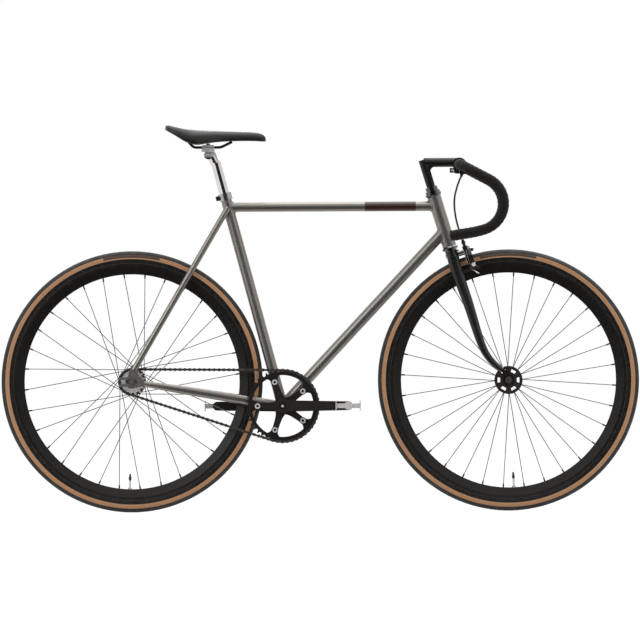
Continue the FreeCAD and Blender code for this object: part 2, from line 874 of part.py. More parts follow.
def make_headset_cups():
    """Cups pressed into both ends of the head tube; each opens towards its ball ring."""
    outer = size.headset_cup_radius
    tube_bore = size.head_tube_radius - size.head_tube_wall
    insert = tube_bore - size.sliding_clearance
    throat = size.steerer_radius + 1
    ball = size.headset_ball_ring_radius
    pocket = ball + 3
    depth = size.headset_cup_height
    insert_depth = size.cup_insert_depth
    section = (
        (throat, -insert_depth),
        (insert, -insert_depth),
        (insert, 0),
        (size.head_tube_radius, 0),
        (outer, depth * 0.45),
        (outer, depth),
        (pocket, depth),
        (pocket, depth - 4),
        (throat, depth - 4),
    )
    upper = turned("headset_cup_upper", section)
    upper.Placement = on_frame(STEER_FRAME, HEAD_TOP)
    lower = turned("headset_cup_lower", section)
    lower.Placement = Placement(on_steer(HEAD_BOTTOM), Rotation(AHEAD, -ACROSS, -STEER, "ZXY"))
    node(group("headset_cups", upper, lower), "headset_cups")


def make_bracket_cups():
    """Threaded cups in the bracket shell, each with its bearing."""
    half_shell = size.bottom_bracket_width / 2
    outer = size.bottom_bracket_bore_radius - size.sliding_clearance
    seat = size.bottom_bracket_bore_radius - 2.4
    spindle = size.spindle_radius + size.sliding_clearance
    lip = size.cup_flange_width
    depth = size.cup_depth
    pieces = []
    for word, side in (("right", DRIVE_SIDE), ("left", LEFT_SIDE)):
        cup = turned(f"bracket_cup_{word}", (
            (seat, half_shell - depth),
            (outer, half_shell - depth),
            (outer, half_shell),
            (size.cup_flange_radius, half_shell),
            (size.cup_flange_radius, half_shell + lip),
            (spindle + 1, half_shell + lip),
            (spindle + 1, half_shell + lip - 2),
            (seat, half_shell + lip - 2),
        ))
        bearing = turned(f"bracket_bearing_{word}", (
            (spindle, half_shell - depth),
            (seat - size.sliding_clearance, half_shell - depth),
            (seat - size.sliding_clearance, half_shell + lip - 2.2),
            (spindle, half_shell + lip - 2.2),
        ))
        for piece in (cup, bearing):
            piece.Placement = Placement(BRACKET, side)
            pieces.append(piece)
    node(group("bottom_bracket_cups", *pieces), "bottom_bracket_cups")


# Wheels, each made about its own axle with own Z out to the drive side

def polar(radius, degrees, height=0):
    """A point in a wheel's own frame."""
    turn = math.radians(degrees)
    return V(radius * math.cos(turn), radius * math.sin(turn), height)


def groove(body, name, draw):
    """Turn an outline of (radius, height) points out of a body."""
    sketch = new_sketch(body, f"{name}_section", "XZ_Plane")
    draw(sketch)
    feature = body.newObject("PartDesign::Groove", name)
    feature.Profile = sketch
    feature.ReferenceAxis = (sketch, ["V_Axis"])
    feature.Angle = 360
    return feature


def turned_circle(name, middle, radius):
    """A ring of round section turned about its own Z."""
    body = new_body(name)
    sketch = new_sketch(body, f"{name}_section", "XZ_Plane")
    draw_circle(sketch, middle, 0, radius)
    turn = body.newObject("PartDesign::Revolution", f"{name}_turned")
    turn.Profile = sketch
    turn.ReferenceAxis = (sketch, ["V_Axis"])
    turn.Angle = 360
    return body


def make_tyre(name):
    """An open casing with a bead down each side of the rim."""
    middle = size.tyre_radius - size.tyre_half_width
    seat = size.rim_flange_radius + size.running_gap
    bead_foot = size.rim_flange_radius - size.rim_flange_height + size.running_gap / 2
    bead_side = size.rim_width / 2 - size.rim_wall - size.running_gap / 2
    bead_inside = bead_side - size.bead_width
    body = turned_circle(name, middle, size.tyre_half_width)
    groove(body, f"{name}_cavity", lambda sketch: draw_circle(
        sketch, middle, 0, size.tyre_half_width - size.tyre_wall))
    low = size.rim_flange_radius - size.tyre_half_width
    wide = size.tyre_half_width * 1.2
    groove(body, f"{name}_mouth", lambda sketch: draw_outline(
        sketch, ((low, -wide), (seat, -wide), (seat, wide), (low, wide))))
    for word, way in (("right", 1), ("left", -1)):
        sketch = new_sketch(body, f"{name}_bead_{word}_section", "XZ_Plane")
        draw_outline(sketch, (
            (bead_foot, bead_inside * way),
            (bead_foot, bead_side * way),
            (seat, bead_side * way),
            (seat + 1.5, (bead_side + 2.5) * way),
            (seat + 1.5, (bead_side + 0.4) * way),
        ))
        bead = body.newObject("PartDesign::Revolution", f"{name}_bead_{word}")
        bead.Profile = sketch
        bead.ReferenceAxis = (sketch, ["V_Axis"])
        bead.Angle = 360
    return body


def make_inner_tube(name, valve_angle):
    """A hollow air tube with its valve stem pointing at the hub."""
    middle = size.tyre_radius - size.tyre_half_width
    radius = size.tyre_half_width - size.tyre_wall - size.running_gap
    body = turned_circle(f"{name}_ring", middle, radius)
    groove(body, f"{name}_air", lambda sketch: draw_circle(sketch, middle, 0, radius - size.tube_wall))
    foot = float(middle - radius) + size("tube_wall") / 2
    inward = polar(-1, valve_angle)
    stem_place = facing(polar(foot, valve_angle), inward)
    stem = rod(f"{name}_valve", size.valve_radius, size.valve_length, stem_place)
    return fuse(name, body, stem)


def make_rim_section(name):
    """A deep double-walled rim with a brake track on each side."""
    half = size.rim_width / 2
    nose = size.rim_nose_width / 2
    lip = half - size.rim_wall
    edge = size.rim_flange_radius
    seat = edge - size.rim_flange_height
    well = seat - size.rim_well_depth
    track = edge - size.brake_track_height
    floor = size.rim_inner_radius + size.rim_wall * 1.3
    roof = well - size.rim_wall
    outside = (
        (size.rim_inner_radius, -nose), (size.rim_inner_radius, nose), (track, half), (edge, half),
        (edge, lip), (seat, lip), (well, lip - 3), (well, -(lip - 3)), (seat, -lip), (edge, -lip),
        (edge, -half), (track, -half),
    )
    hollow = (
        (floor, -(nose - 1)), (floor, nose - 1), (track, lip), (roof, lip), (roof, -lip), (track, -lip),
    )
    return turned(f"{name}_section", outside, hollow)


def lacing(side_phases, flange_offset, turns):
    """Spoke lines of a wheel: (flange hole, start beside the flange, rim end, side of the flange).

    A turn is (degrees, face): face is 1 for a spoke that runs outside its flange, -1 for inside.
    """
    per_side = int(size("spokes_per_side"))
    rim_floor = size("rim_inner_radius") + size("rim_wall") * 1.3
    half_flange = size("hub_flange_thickness") / 2
    for side, phase in side_phases:
        for index in range(per_side):
            turn, face = turns[index % len(turns)]
            hub_angle = phase + index * 360 / per_side
            hole = polar(size("spoke_circle_radius"), hub_angle, side * flange_offset)
            rim_end = polar(rim_floor, hub_angle + turn * (side if len(turns) == 1 else 1))
            plan = V(rim_end.x - hole.x, rim_end.y - hole.y, 0)
            length = plan.Length
            plan = plan.normalize()
            level = V(hole.x, hole.y, 0)
            inward = level.dot(plan)
            to_edge = math.sqrt(inward ** 2 + size("hub_flange_radius") ** 2 - level.Length ** 2) - inward
            slope = flange_offset / length
            clear = half_flange + size("spoke_radius") + 0.2
            if face > 0:
                clear += slope * to_edge * 1.3
            yield hole, hole + V(0, 0, side * face * clear), rim_end, side * face


def make_spokes(name, lines):
    """Spokes with their elbows and heads, one solid each."""
    radius = size("spoke_radius")
    tip = size("rim_wall") / 2
    spokes = []
    for hole, start, rim_end, way in lines:
        direction = (rim_end - start).normalize()
        straight = Part.makeCylinder(radius, (rim_end - start).Length + tip, start, direction)
        bend = Part.makeSphere(radius, start)
        across = V(0, 0, -way)
        through = abs(start.z - hole.z) + size("hub_flange_thickness") / 2 + 0.2
        elbow = Part.makeCylinder(radius, through, start, across)
        head_at = start + across * through
        head = Part.makeCylinder(size("spoke_head_radius"), size("spoke_head_height"), head_at, across)
        spokes.append(straight.fuse([bend, elbow, head]).removeSplitter())
    return computed(name, Part.makeCompound(spokes))


def make_nipples(name, lines):
    """Nipples on the spoke ends: a body through the rim's inner wall and a head inside it."""
    nipples = []
    for hole, start, rim_end, way in lines:
        inward = (start - rim_end).normalize()
        seat = rim_end - inward * 0.5
        body = Part.makeCylinder(size("nipple_radius"), size("nipple_length"), seat, inward)
        head = Part.makeCylinder(size("nipple_head_radius"), size("nipple_head_height"), seat, -inward)
        bore_radius = size("spoke_radius") + size("sliding_clearance")
        bore = Part.makeCylinder(bore_radius, 40, seat + inward * 20, -inward)
        nipples.append(body.fuse(head).cut(bore))
    return computed(name, Part.makeCompound(nipples))


def make_rim(name, lines, valve_angle):
    """The rim with its nipple holes, their access holes and the valve hole."""
    drills = []
    top = size("rim_flange_radius")
    for hole, start, rim_end, way in lines:
        inward = (start - rim_end).normalize()
        drills.append(Part.makeCylinder(size("nipple_radius") + 0.15, 20, rim_end + inward * 14, -inward))
        access = rim_end - inward * 12
        drills.append(Part.makeCylinder(size("nipple_access_radius"), 25, access, -inward))
    valve_hole = size("valve_radius") + 0.2
    drills.append(Part.makeCylinder(valve_hole, 60, polar(top, valve_angle), polar(-1, valve_angle)))
    return cut(name, make_rim_section(name), computed(f"{name}_drills", Part.makeCompound(drills)))


def make_hub(name, flange_offset, half_length, lines):
    """A large-flange hub shell with its two bearings."""
    flange = size.hub_flange_radius
    outer = flange_offset + size.hub_flange_thickness / 2
    inner = flange_offset - size.hub_flange_thickness / 2
    end = size.hub_end_radius
    barrel = size.hub_barrel_radius
    seat = size.bearing_outer_radius
    stop = half_length - size.bearing_width
    bore = size.bearing_outer_radius - 2.5
    half = ((bore, stop), (seat, stop), (seat, half_length), (end, half_length), (end, outer),
            (flange, outer),
            (flange, inner), (barrel + 3, inner), (barrel, inner - 6))
    mirrored = tuple((radius, -height) for radius, height in reversed(half))
    shell = turned(f"{name}_shell", half + mirrored)
    deep = size.hub_slot_width / 2
    long = size.hub_slot_length / 2
    middle = size.hub_slot_radius
    slot = add_pocket(shell, f"{name}_slot", lambda sketch: draw_outline(sketch, (
        (middle - deep, -long * 0.8), (middle + deep, -long),
        (middle + deep, long), (middle - deep, long * 0.8))))
    repeat_round(shell, f"{name}_slots", [slot], size.hub_slot_count)
    drills = []
    for hole, start, rim_end, way in lines:
        base = hole - V(0, 0, 4)
        drills.append(Part.makeCylinder(size("spoke_radius") + 0.1, 8, base))
    pieces = [cut(name, shell, computed(f"{name}_drills", Part.makeCompound(drills)))]
    ring_inner = size.bearing_inner_radius
    ring_outer = seat - size.sliding_clearance / 2
    for word, way in (("right", 1), ("left", -1)):
        pieces.append(turned(f"{name}_bearing_{word}", (
            (ring_inner, stop * way), (ring_outer, stop * way),
            (ring_outer, half_length * way), (ring_inner, half_length * way))))
    return group(name, *pieces)


def make_axle(name, radius, half_length, over_locknut, plate, place):
    """An axle with its spacers, washers and nuts."""
    locknut = over_locknut / 2
    fit = radius + size.sliding_clearance
    sleeve = size.bearing_inner_radius - size.sliding_clearance
    shoulder = half_length + size.running_gap
    stop = half_length - size.bearing_width
    nut_face = locknut + plate
    nut_end = nut_face + size.washer_thickness + size.axle_nut_height
    reach = nut_end + size.axle_end_length
    tip = radius - size.axle_end_step
    half = ((radius, nut_end), (tip, nut_end), (tip, reach), (0, reach))
    mirrored = tuple((across, -along) for across, along in reversed(half))
    pieces = [turned(f"{name}_rod", half + mirrored)]
    for word, way in (("right", 1), ("left", -1)):
        pieces.append(turned(f"{name}_spacer_{word}", (
            (fit, stop * way), (sleeve, stop * way), (sleeve, shoulder * way),
            (size.locknut_radius, shoulder * way),
            (size.locknut_radius, locknut * way), (fit, locknut * way))))
        up = V(0, 0, way)
        washer = rod(f"{name}_washer_{word}", size.washer_radius, size.washer_thickness,
                     facing(up * float(nut_face), up))
        nut = hexagon(f"{name}_hex_{word}", size.axle_nut_size, size.axle_nut_height,
                      facing(up * (float(nut_face) + size("washer_thickness")), up))
        hole = rod(f"{name}_nut_hole_{word}", fit, reach, facing(V(), up))
        pieces.append(cut(f"{name}_nut_{word}", fuse(f"{name}_nut_{word}", washer, nut), hole))
    axle = group(name, *pieces)
    axle.Placement = place
    return node(axle, name)


def make_wheel(word, centre, side_phases, turns, flange_offset, half_length, valve_angle):
    place = Placement(centre, DRIVE_SIDE)
    lines = list(lacing(side_phases, float(flange_offset), turns))
    pieces = {
        "tyre": make_tyre(f"{word}_tyre"),
        "inner_tube": make_inner_tube(f"{word}_inner_tube", valve_angle),
        "rim": make_rim(f"{word}_rim", lines, valve_angle),
        "spokes": make_spokes(f"{word}_spokes", lines),
        "nipples": make_nipples(f"{word}_nipples", lines),
        "hub": make_hub(f"{word}_hub", flange_offset, half_length, lines),
    }
    for kind, piece in pieces.items():
        piece.Placement = place
        node(piece, f"{word}_{kind}")


def make_wheels():
    front_phase = size("front_spoke_phase")
    make_wheel("front", FRONT_AXLE, ((1, front_phase), (-1, front_phase)), ((size("front_lacing_turn"), -1),),
               size.front_flange_offset, size.front_hub_half_length, size("front_valve_angle"))
    rear_phase = size("rear_spoke_phase")
    between = 180 / size("spokes_per_side")
    cross = size("rear_lacing_turn")
    make_wheel("rear", REAR_AXLE, ((1, rear_phase), (-1, rear_phase + between)), ((cross, 1), (-cross, -1)),
               size.rear_flange_offset, size.rear_hub_half_length, size("rear_valve_angle"))
    make_axle("front_axle", size.front_axle_radius, size.front_hub_half_length, size.front_over_locknut,
              size.fork_tip_thickness, Placement(FRONT_AXLE, DRIVE_SIDE))
    make_axle("rear_axle", size.rear_axle_radius, size.rear_hub_half_length, size.rear_over_locknut,
              size.rear_dropout_thickness, Placement(REAR_AXLE, DRIVE_SIDE))


# Sprockets, cranks and pedals

def bound_pitch_radius(teeth_alias):
    """A sprocket's pitch radius, tied to the chain pitch and its tooth count."""
    teeth = getattr(size, teeth_alias)
    return Size(pitch_radius(teeth.number), f"(sizes.chain_pitch / (2 * sin(180deg / {teeth.text})))")


def cut_teeth(body, name, pitch, teeth, phase):
    """Cut a roller seat and its widening mouth, and repeat them round the sprocket."""
    seat = size.roller_radius + 0.2
    mouth = pitch + size.tooth_height + 2
    roller_seat = add_pocket(body, f"{name}_seat", lambda sketch: draw_circle(
        sketch, pitch, 0, seat), turn=phase)
    flank = add_pocket(body, f"{name}_flank", lambda sketch: draw_outline(sketch, (
        (pitch, -seat), (mouth, -(seat + 1.6)), (mouth, seat + 1.6), (pitch, seat))), turn=phase)
    repeat_round(body, f"{name}_teeth", [roller_seat, flank], teeth)


def roller_phase(centre, roller):
    """The angle at which a sprocket's seat takes a roller."""
    arm = roller - centre
    return math.degrees(math.atan2(arm.z, arm.x))


def sprocket_place(centre):
    """Set a sprocket in the chain line."""
    inner_face = centre - ACROSS * (size("chain_line") - size("sprocket_thickness") / 2)
    return Placement(inner_face, DRIVE_SIDE)


def chain_rollers():
    """Roller centres in the bike's middle plane, and one roller seated on the ring and on the cog."""
    travels = march_chain(CHAIN_STAY)[:-1]
    tilt, run, cog_wrap, ring_wrap = chain_lap(CHAIN_STAY)
    points = []
    for travel in travels:
        flat = chain_point(CHAIN_STAY, travel)
        points.append(BRACKET + STAY_LINE * flat.x + STAY_UP * flat.y)
    on_cog = next(point for point, travel in zip(points, travels) if travel > run + cog_wrap / 2)
    half_way = 2 * run + cog_wrap + ring_wrap / 2
    on_ring = next(point for point, travel in zip(points, travels) if travel > half_way)
    return points, on_ring, on_cog


def link_plate(radius, inner_face):
    """A side plate between two pins, drawn along X from the first pin."""
    pitch = size("chain_pitch")
    thickness = size("chain_plate_thickness")
    waist = radius * 0.7
    ends = [Part.makeCylinder(radius, thickness, V(at, 0, inner_face)) for at in (0, pitch)]
    bar = Part.makeBox(pitch, 2 * waist, thickness, V(0, -waist, inner_face))
    return ends[0].fuse([ends[1], bar]).removeSplitter()


def make_chain(points):
    """Outer links with their pins, and inner links with their rollers, one solid each."""
    pitch = size("chain_pitch")
    half = size("chain_inner_width") / 2
    thickness = size("chain_plate_thickness")
    gap = 0.1
    outer_face = half + thickness + gap
    plate = size("chain_plate_radius")
    pin = size("chain_pin_radius")
    pin_length = 2 * (outer_face + thickness) + 1
    bore = pin + size("sliding_clearance")

    def both_sides(radius, face):
        return [link_plate(radius, face), link_plate(radius, -face - thickness)]

    pins = [Part.makeCylinder(pin, pin_length, V(at, 0, -pin_length / 2)) for at in (0, pitch)]
    outer = pins[0].fuse([pins[1]] + both_sides(plate - 0.2, outer_face)).removeSplitter()
    rollers = [Part.makeCylinder(size("roller_radius"), 2 * half, V(at, 0, -half)) for at in (0, pitch)]
    holes = [Part.makeCylinder(bore, pin_length, V(at, 0, -pin_length / 2)) for at in (0, pitch)]
    inner = rollers[0].fuse([rollers[1]] + both_sides(plate, half)).removeSplitter().cut(holes)

    links = {"outer": [], "inner": []}
    for index, start in enumerate(points):
        end = points[(index + 1) % len(points)]
        kind, pattern = ("outer", outer) if index % 2 else ("inner", inner)
        turn = math.degrees(math.atan2(end.z - start.z, end.x - start.x))
        link = pattern.copy()
        slope = DRIVE_SIDE.multiply(Rotation(V(0, 0, 1), turn))
        link.Placement = Placement(start - ACROSS * size("chain_line"), slope)
        links[kind].append(link)
    for kind, solids in links.items():
        node(computed(f"chain_{kind}_links", Part.makeCompound(solids)), f"chain_{kind}_links")


# Down an arm of the spider from the spindle to its bolt: share of the bolt's radius, share of half the arm's width
SPIDER_FLARE = ((0, 2.2), (0.31, 1.72), (0.40, 1.40), (0.52, 1.22), (0.69, 1.10), (1, 1.02))
# Down a tab of the ring from its bolt to the rim: share of the window's radius, share of the tab's radius
TAB_FLARE = ((0.8125, 0.96), (0.875, 1.04), (0.925, 1.30), (0.9625, 1.68), (0.9875, 2.15), (1.0125, 2.75))


def flared_outline(reach, half_width, shares):
    """Both edges of a limb along own -X that widens as its shares say."""
    lower = [(-(reach * along), -(half_width * across)) for along, across in shares]
    upper = [(-(reach * along), half_width * across) for along, across in reversed(shares)]
    return tuple(lower + upper)


def make_chainring(on_ring):
    """A toothed ring carried on five tabs."""
    thickness = size.sprocket_thickness
    pitch = bound_pitch_radius("chainring_teeth")
    window = size.chainring_window_radius
    bolt = size.ring_bolt_circle / 2
    tab = size.ring_tab_radius
    body = new_body("chainring")

    def draw_ring(sketch):
        draw_circle(sketch, 0, 0, pitch + size.tooth_height)
        draw_circle(sketch, 0, 0, window)

    add_pad(body, "chainring_rim", draw_ring, thickness)
    cut_teeth(body, "chainring", pitch, size.chainring_teeth, roller_phase(BRACKET, on_ring))
    tab_nose = add_pad(body, "chainring_tab_nose", lambda sketch: draw_circle(
        sketch, -bolt, 0, tab), thickness)
    tab_root = add_pad(body, "chainring_tab_root", lambda sketch: draw_outline(
        sketch, flared_outline(window, tab, TAB_FLARE)), thickness)
    repeat_round(body, "chainring_tabs", [tab_nose, tab_root], size.ring_bolt_count)
    hole = add_pocket(body, "chainring_bolt_hole", lambda sketch: draw_circle(
        sketch, -bolt, 0, size.ring_bolt_radius + size.sliding_clearance))
    repeat_round(body, "chainring_bolt_holes", [hole], size.ring_bolt_count)
    body.Placement = sprocket_place(BRACKET)
    return body


def make_cog(on_cog):
    """The fixed cog and its lockring, both screwed on the rear hub."""
    pitch = bound_pitch_radius("cog_teeth")
    bore = size.hub_end_radius + size.sliding_clearance
    cog = new_body("rear_cog")

    def draw_cog(sketch):
        draw_circle(sketch, 0, 0, pitch + size.tooth_height)
        draw_circle(sketch, 0, 0, bore)

    add_pad(cog, "rear_cog_disc", draw_cog, size.sprocket_thickness)
    cut_teeth(cog, "rear_cog", pitch, size.cog_teeth, roller_phase(REAR_AXLE, on_cog))
    cog.Placement = sprocket_place(REAR_AXLE)
    node(cog, "rear_cog")

    face = size.chain_line + size.sprocket_thickness / 2
    ring = turned("rear_lockring", (
        (bore, face), (size.lockring_radius, face),
        (size.lockring_radius, face + size.lockring_width), (bore, face + size.lockring_width)))
    ring.Placement = Placement(REAR_AXLE, DRIVE_SIDE)
    node(ring, "rear_lockring")


def crank_arm(body, name):
    """The arm from the spindle to the pedal eye, with its boss and holes."""
    length = size.crank_length
    inner = size.crank_arm_inner_face
    thickness = size.crank_outer_face - inner
    half_root = size.crank_root_width / 2
    tip = size.crank_tip_radius
    boss_length = size.crank_outer_face - size.crank_inner_face
    add_pad(body, f"{name}_boss", lambda sketch: draw_circle(sketch, 0, 0, size.crank_boss_radius),
            boss_length, size.crank_inner_face)
    add_pad(body, f"{name}_blade", lambda sketch: draw_outline(sketch, (
        (0, -half_root), (length, -tip), (length, tip), (0, half_root))), thickness, inner)
    add_pad(body, f"{name}_eye", lambda sketch: draw_circle(sketch, length, 0, tip), thickness, inner)


def drill_crank(body, name):
    """The square for the spindle, the bolt's counterbore and the pedal thread."""
    square = size.spindle_square / 2 + size.sliding_clearance
    add_pocket(body, f"{name}_square", lambda sketch: draw_outline(sketch, (
        (-square, -square), (square, -square), (square, square), (-square, square))))
    cap = add_pocket(body, f"{name}_cap_bore", lambda sketch: draw_circle(
        sketch, 0, 0, size.crank_cap_radius + size.sliding_clearance), size.spindle_half_length)
    cap.Midplane = False
    cap.Reversed = True
    add_pocket(body, f"{name}_thread", lambda sketch: draw_circle(
        sketch, size.crank_length, 0, size.pedal_axle_radius + size.sliding_clearance))


def make_cranks(on_ring):
    ring_face = size.chain_line + size.sprocket_thickness / 2
    bolt = size.ring_bolt_circle / 2
    half_arm = size.spider_arm_width / 2
    ring = node(make_chainring(on_ring), "chainring")
    right = new_body("crank_right")
    crank_arm(right, "crank_right")
    tab = size.ring_tab_radius
    arm = add_pad(right, "spider_arm", lambda sketch: draw_outline(
        sketch, flared_outline(bolt, half_arm, SPIDER_FLARE)), size.spider_thickness, ring_face)
    pad = add_pad(right, "spider_pad", lambda sketch: draw_circle(
        sketch, -bolt, 0, tab), size.spider_thickness, ring_face)
    repeat_round(right, "spider", [arm, pad], size.ring_bolt_count)
    hole = add_pocket(right, "spider_bolt_hole", lambda sketch: draw_circle(
        sketch, -bolt, 0, size.ring_bolt_radius + size.sliding_clearance))
    hole.Midplane = False
    hole.Reversed = True
    repeat_round(right, "spider_bolt_holes", [hole], size.ring_bolt_count)
    drill_crank(right, "crank_right")
    left = new_body("crank_left")
    crank_arm(left, "crank_left")
    drill_crank(left, "crank_left")
    for body, word, side in ((right, "right", DRIVE_SIDE), (left, "left", LEFT_SIDE)):
        body.Placement = Placement(BRACKET, side)
        node(body, f"crank_{word}")

    bolts = []
    shank_length = size.sprocket_thickness + size.spider_thickness
    foot = ring_face - size.sprocket_thickness
    head = size.ring_bolt_head_height
    for index in range(int(size("ring_bolt_count"))):
        at = polar(-size("ring_bolt_circle") / 2, index * 360 / size("ring_bolt_count"))
        shank = rod(f"ring_bolt_shank{index}", size.ring_bolt_radius, shank_length,
                    Placement(at + V(0, 0, float(foot)), Rotation()))
        front = rod(f"ring_bolt_head{index}", size.ring_bolt_head_radius, head,
                    Placement(at + V(0, 0, float(foot + shank_length)), Rotation()))
        back = rod(f"ring_bolt_nut{index}", size.ring_bolt_head_radius, head,
                   Placement(at + V(0, 0, float(foot - head)), Rotation()))
        bolts.append(fuse(f"ring_bolt{index}", shank, front, back))
    for bolt_piece in bolts:
        bolt_piece.Placement = Placement(BRACKET, DRIVE_SIDE)
    for word, side in (("right", DRIVE_SIDE), ("left", LEFT_SIDE)):
        cap_foot = size.spindle_half_length
        cap = turned(f"crank_cap_{word}", (
            (0, cap_foot), (size.crank_cap_radius, cap_foot),
            (size.crank_cap_radius, cap_foot + size.crank_cap_height), (0, cap_foot + size.crank_cap_height)))
        cap.Placement = Placement(BRACKET, side)
        bolts.append(cap)
    node(group("crank_bolts", *bolts), "crank_bolts")

    round_half = size.bottom_bracket_width / 2 + size.cup_flange_width + 1
    across = Placement(BRACKET, DRIVE_SIDE)
    middle = rod("spindle_round", size.spindle_radius, round_half * 2,
                 across.multiply(Placement(V(0, 0, -float(round_half)), Rotation())))
    ends = block("spindle_ends", size.spindle_square, size.spindle_square, size.spindle_half_length * 2,
                 across.multiply(Placement(V(0, 0, -size("spindle_half_length")), Rotation())))
    node(fuse("bottom_bracket_spindle", middle, ends), "bottom_bracket_spindle")


def make_pedal(word, side, eye):
    """A cage pedal on its axle, with own Z out from the crank."""
    place = Placement(eye, side)
    start = float(size.crank_outer_face + size.pedal_collar_width + size.running_gap)
    end = start + size("pedal_width")
    thread_length = size.crank_outer_face - size.crank_arm_inner_face
    thread = rod(f"pedal_thread_{word}", size.pedal_axle_radius, thread_length,
                 Placement(V(0, 0, size("crank_arm_inner_face")), Rotation()))
    collar = rod(f"pedal_collar_{word}", size.pedal_collar_radius, size.pedal_collar_width,
                 Placement(V(0, 0, size("crank_outer_face")), Rotation()))
    shaft = rod(f"pedal_shaft_{word}", size.pedal_shaft_radius, size.pedal_width - 4,
                Placement(V(0, 0, size("crank_outer_face")), Rotation()))
    axle = fuse(f"pedal_axle_{word}", thread, collar, shaft)
    axle.Placement = place

    barrel = rod(f"pedal_barrel_{word}", size.pedal_barrel_radius, size.pedal_width,
                 Placement(V(0, 0, start), Rotation()))
    across = size.pedal_depth - size.cage_thickness * 2
    bars = []
    for name, height in (("inner", start + 6), ("outer", end - 6 - size("pedal_bar_width"))):
        bars.append(block(f"pedal_{name}_bar_{word}", across, size.pedal_bar_height, size.pedal_bar_width,
                          Placement(V(0, 0, height), Rotation())))
    bore = rod(f"pedal_bore_{word}", size.pedal_shaft_radius + size.sliding_clearance, size.pedal_width - 6,
               Placement(V(0, 0, start - 1), Rotation()))
    casting = cut(f"pedal_casting_{word}", fuse(f"pedal_casting_{word}", barrel, *bars), bore)
    pieces = [casting]
    for name, way in (("front", 1), ("back", -1)):
        middle = V(way * (size("pedal_depth") - size("cage_thickness")) / 2, 0, start + 2)
        plate_length = size.pedal_width - 4
        plate = block(f"pedal_{name}_plate_{word}", size.cage_thickness, size.pedal_height, plate_length,
                      Placement(middle, Rotation()))
        window_at = middle + V(0, 0, 18)
        window_height = size.pedal_height - 14
        window_length = size.pedal_width - 40
        window = block(f"pedal_{name}_window_{word}", size.cage_thickness * 2, window_height, window_length,
                       Placement(window_at, Rotation()))
        pieces.append(cut(f"pedal_{name}_cage_{word}", plate, window))
    pedal = group(f"pedal_{word}", *pieces)
    pedal.Placement = place
    node(pedal, f"pedal_{word}")
    return axle


def make_drive():
    points, on_ring, on_cog = chain_rollers()
    make_chain(points)
    make_cog(on_cog)
    make_cranks(on_ring)
    reach = V(size("crank_length"), 0, 0)
    right = make_pedal("right", DRIVE_SIDE, BRACKET + reach)
    left = make_pedal("left", LEFT_SIDE, BRACKET - reach)
    node(group("pedal_axles", right, left), "pedal_axles")


# Fork and headset

CROWN_BOTTOM = size("axle_to_crown") - size("crown_height")
LOWER_RACE_TOP = size("axle_to_crown") + size("crown_race_height")
UPPER_RACE_FOOT = HEAD_TOP + size("headset_cup_height") + size("running_gap")
LOCKNUT_FOOT = UPPER_RACE_FOOT + size("adjusting_race_height")
STEERER_TOP = LOCKNUT_FOOT + size("locknut_height")
# Own X to the left, own Y up the steering axis, own Z ahead
CALIPER_FRAME = Placement(STEER_FOOT, Rotation(ACROSS, STEER, AHEAD, "ZXY"))


def brake_bolt_rod(name, radius, start, length):
    """A round bar on the brake bolt's line, from a distance ahead of the steering axis."""
    foot = on_steer(size("brake_bolt_station"), float(start))
    return rod(name, radius, length, facing(foot, AHEAD))


def blade_stations(side):
    """Ovals down a fork blade: straight from the crown, then bent forward to the tip."""
    top = CROWN_BOTTOM
    bend = size("blade_bend_start")
    radius = size("blade_bend_radius")
    tip_offset = (size("front_over_locknut") + size("fork_tip_thickness")) / 2
    straight = top - bend
    arc = radius * math.radians(size("blade_bend_angle"))
    path = [(0.0, 0.0), (straight * 0.4, 0.0), (straight * 0.8, 0.0), (straight, 0.0)]
    for share in (0.35, 0.7, 1.0):
        path.append((straight + arc * share, size("blade_bend_angle") * share))
    for travel, degrees in path:
        share = travel / (straight + arc)
        turn = math.radians(degrees)
        fallen = min(travel, straight)
        ahead = size("blade_set_forward") * fallen / straight + radius * (1 - math.cos(turn))
        station = top - fallen - radius * math.sin(turn)
        offset = size("blade_spread") + (tip_offset - size("blade_spread")) * share
        narrowed = share ** size("blade_taper_power")
        depth = size("blade_top_depth") + (size("blade_tip_depth") - size("blade_top_depth")) * narrowed
        width = size("blade_top_width") + (size("blade_tip_width") - size("blade_top_width")) * share
        deep = AHEAD * math.cos(turn) + STEER * math.sin(turn)
        yield on_steer(station, ahead, side * offset), deep, ACROSS * side, depth / 2, width / 2


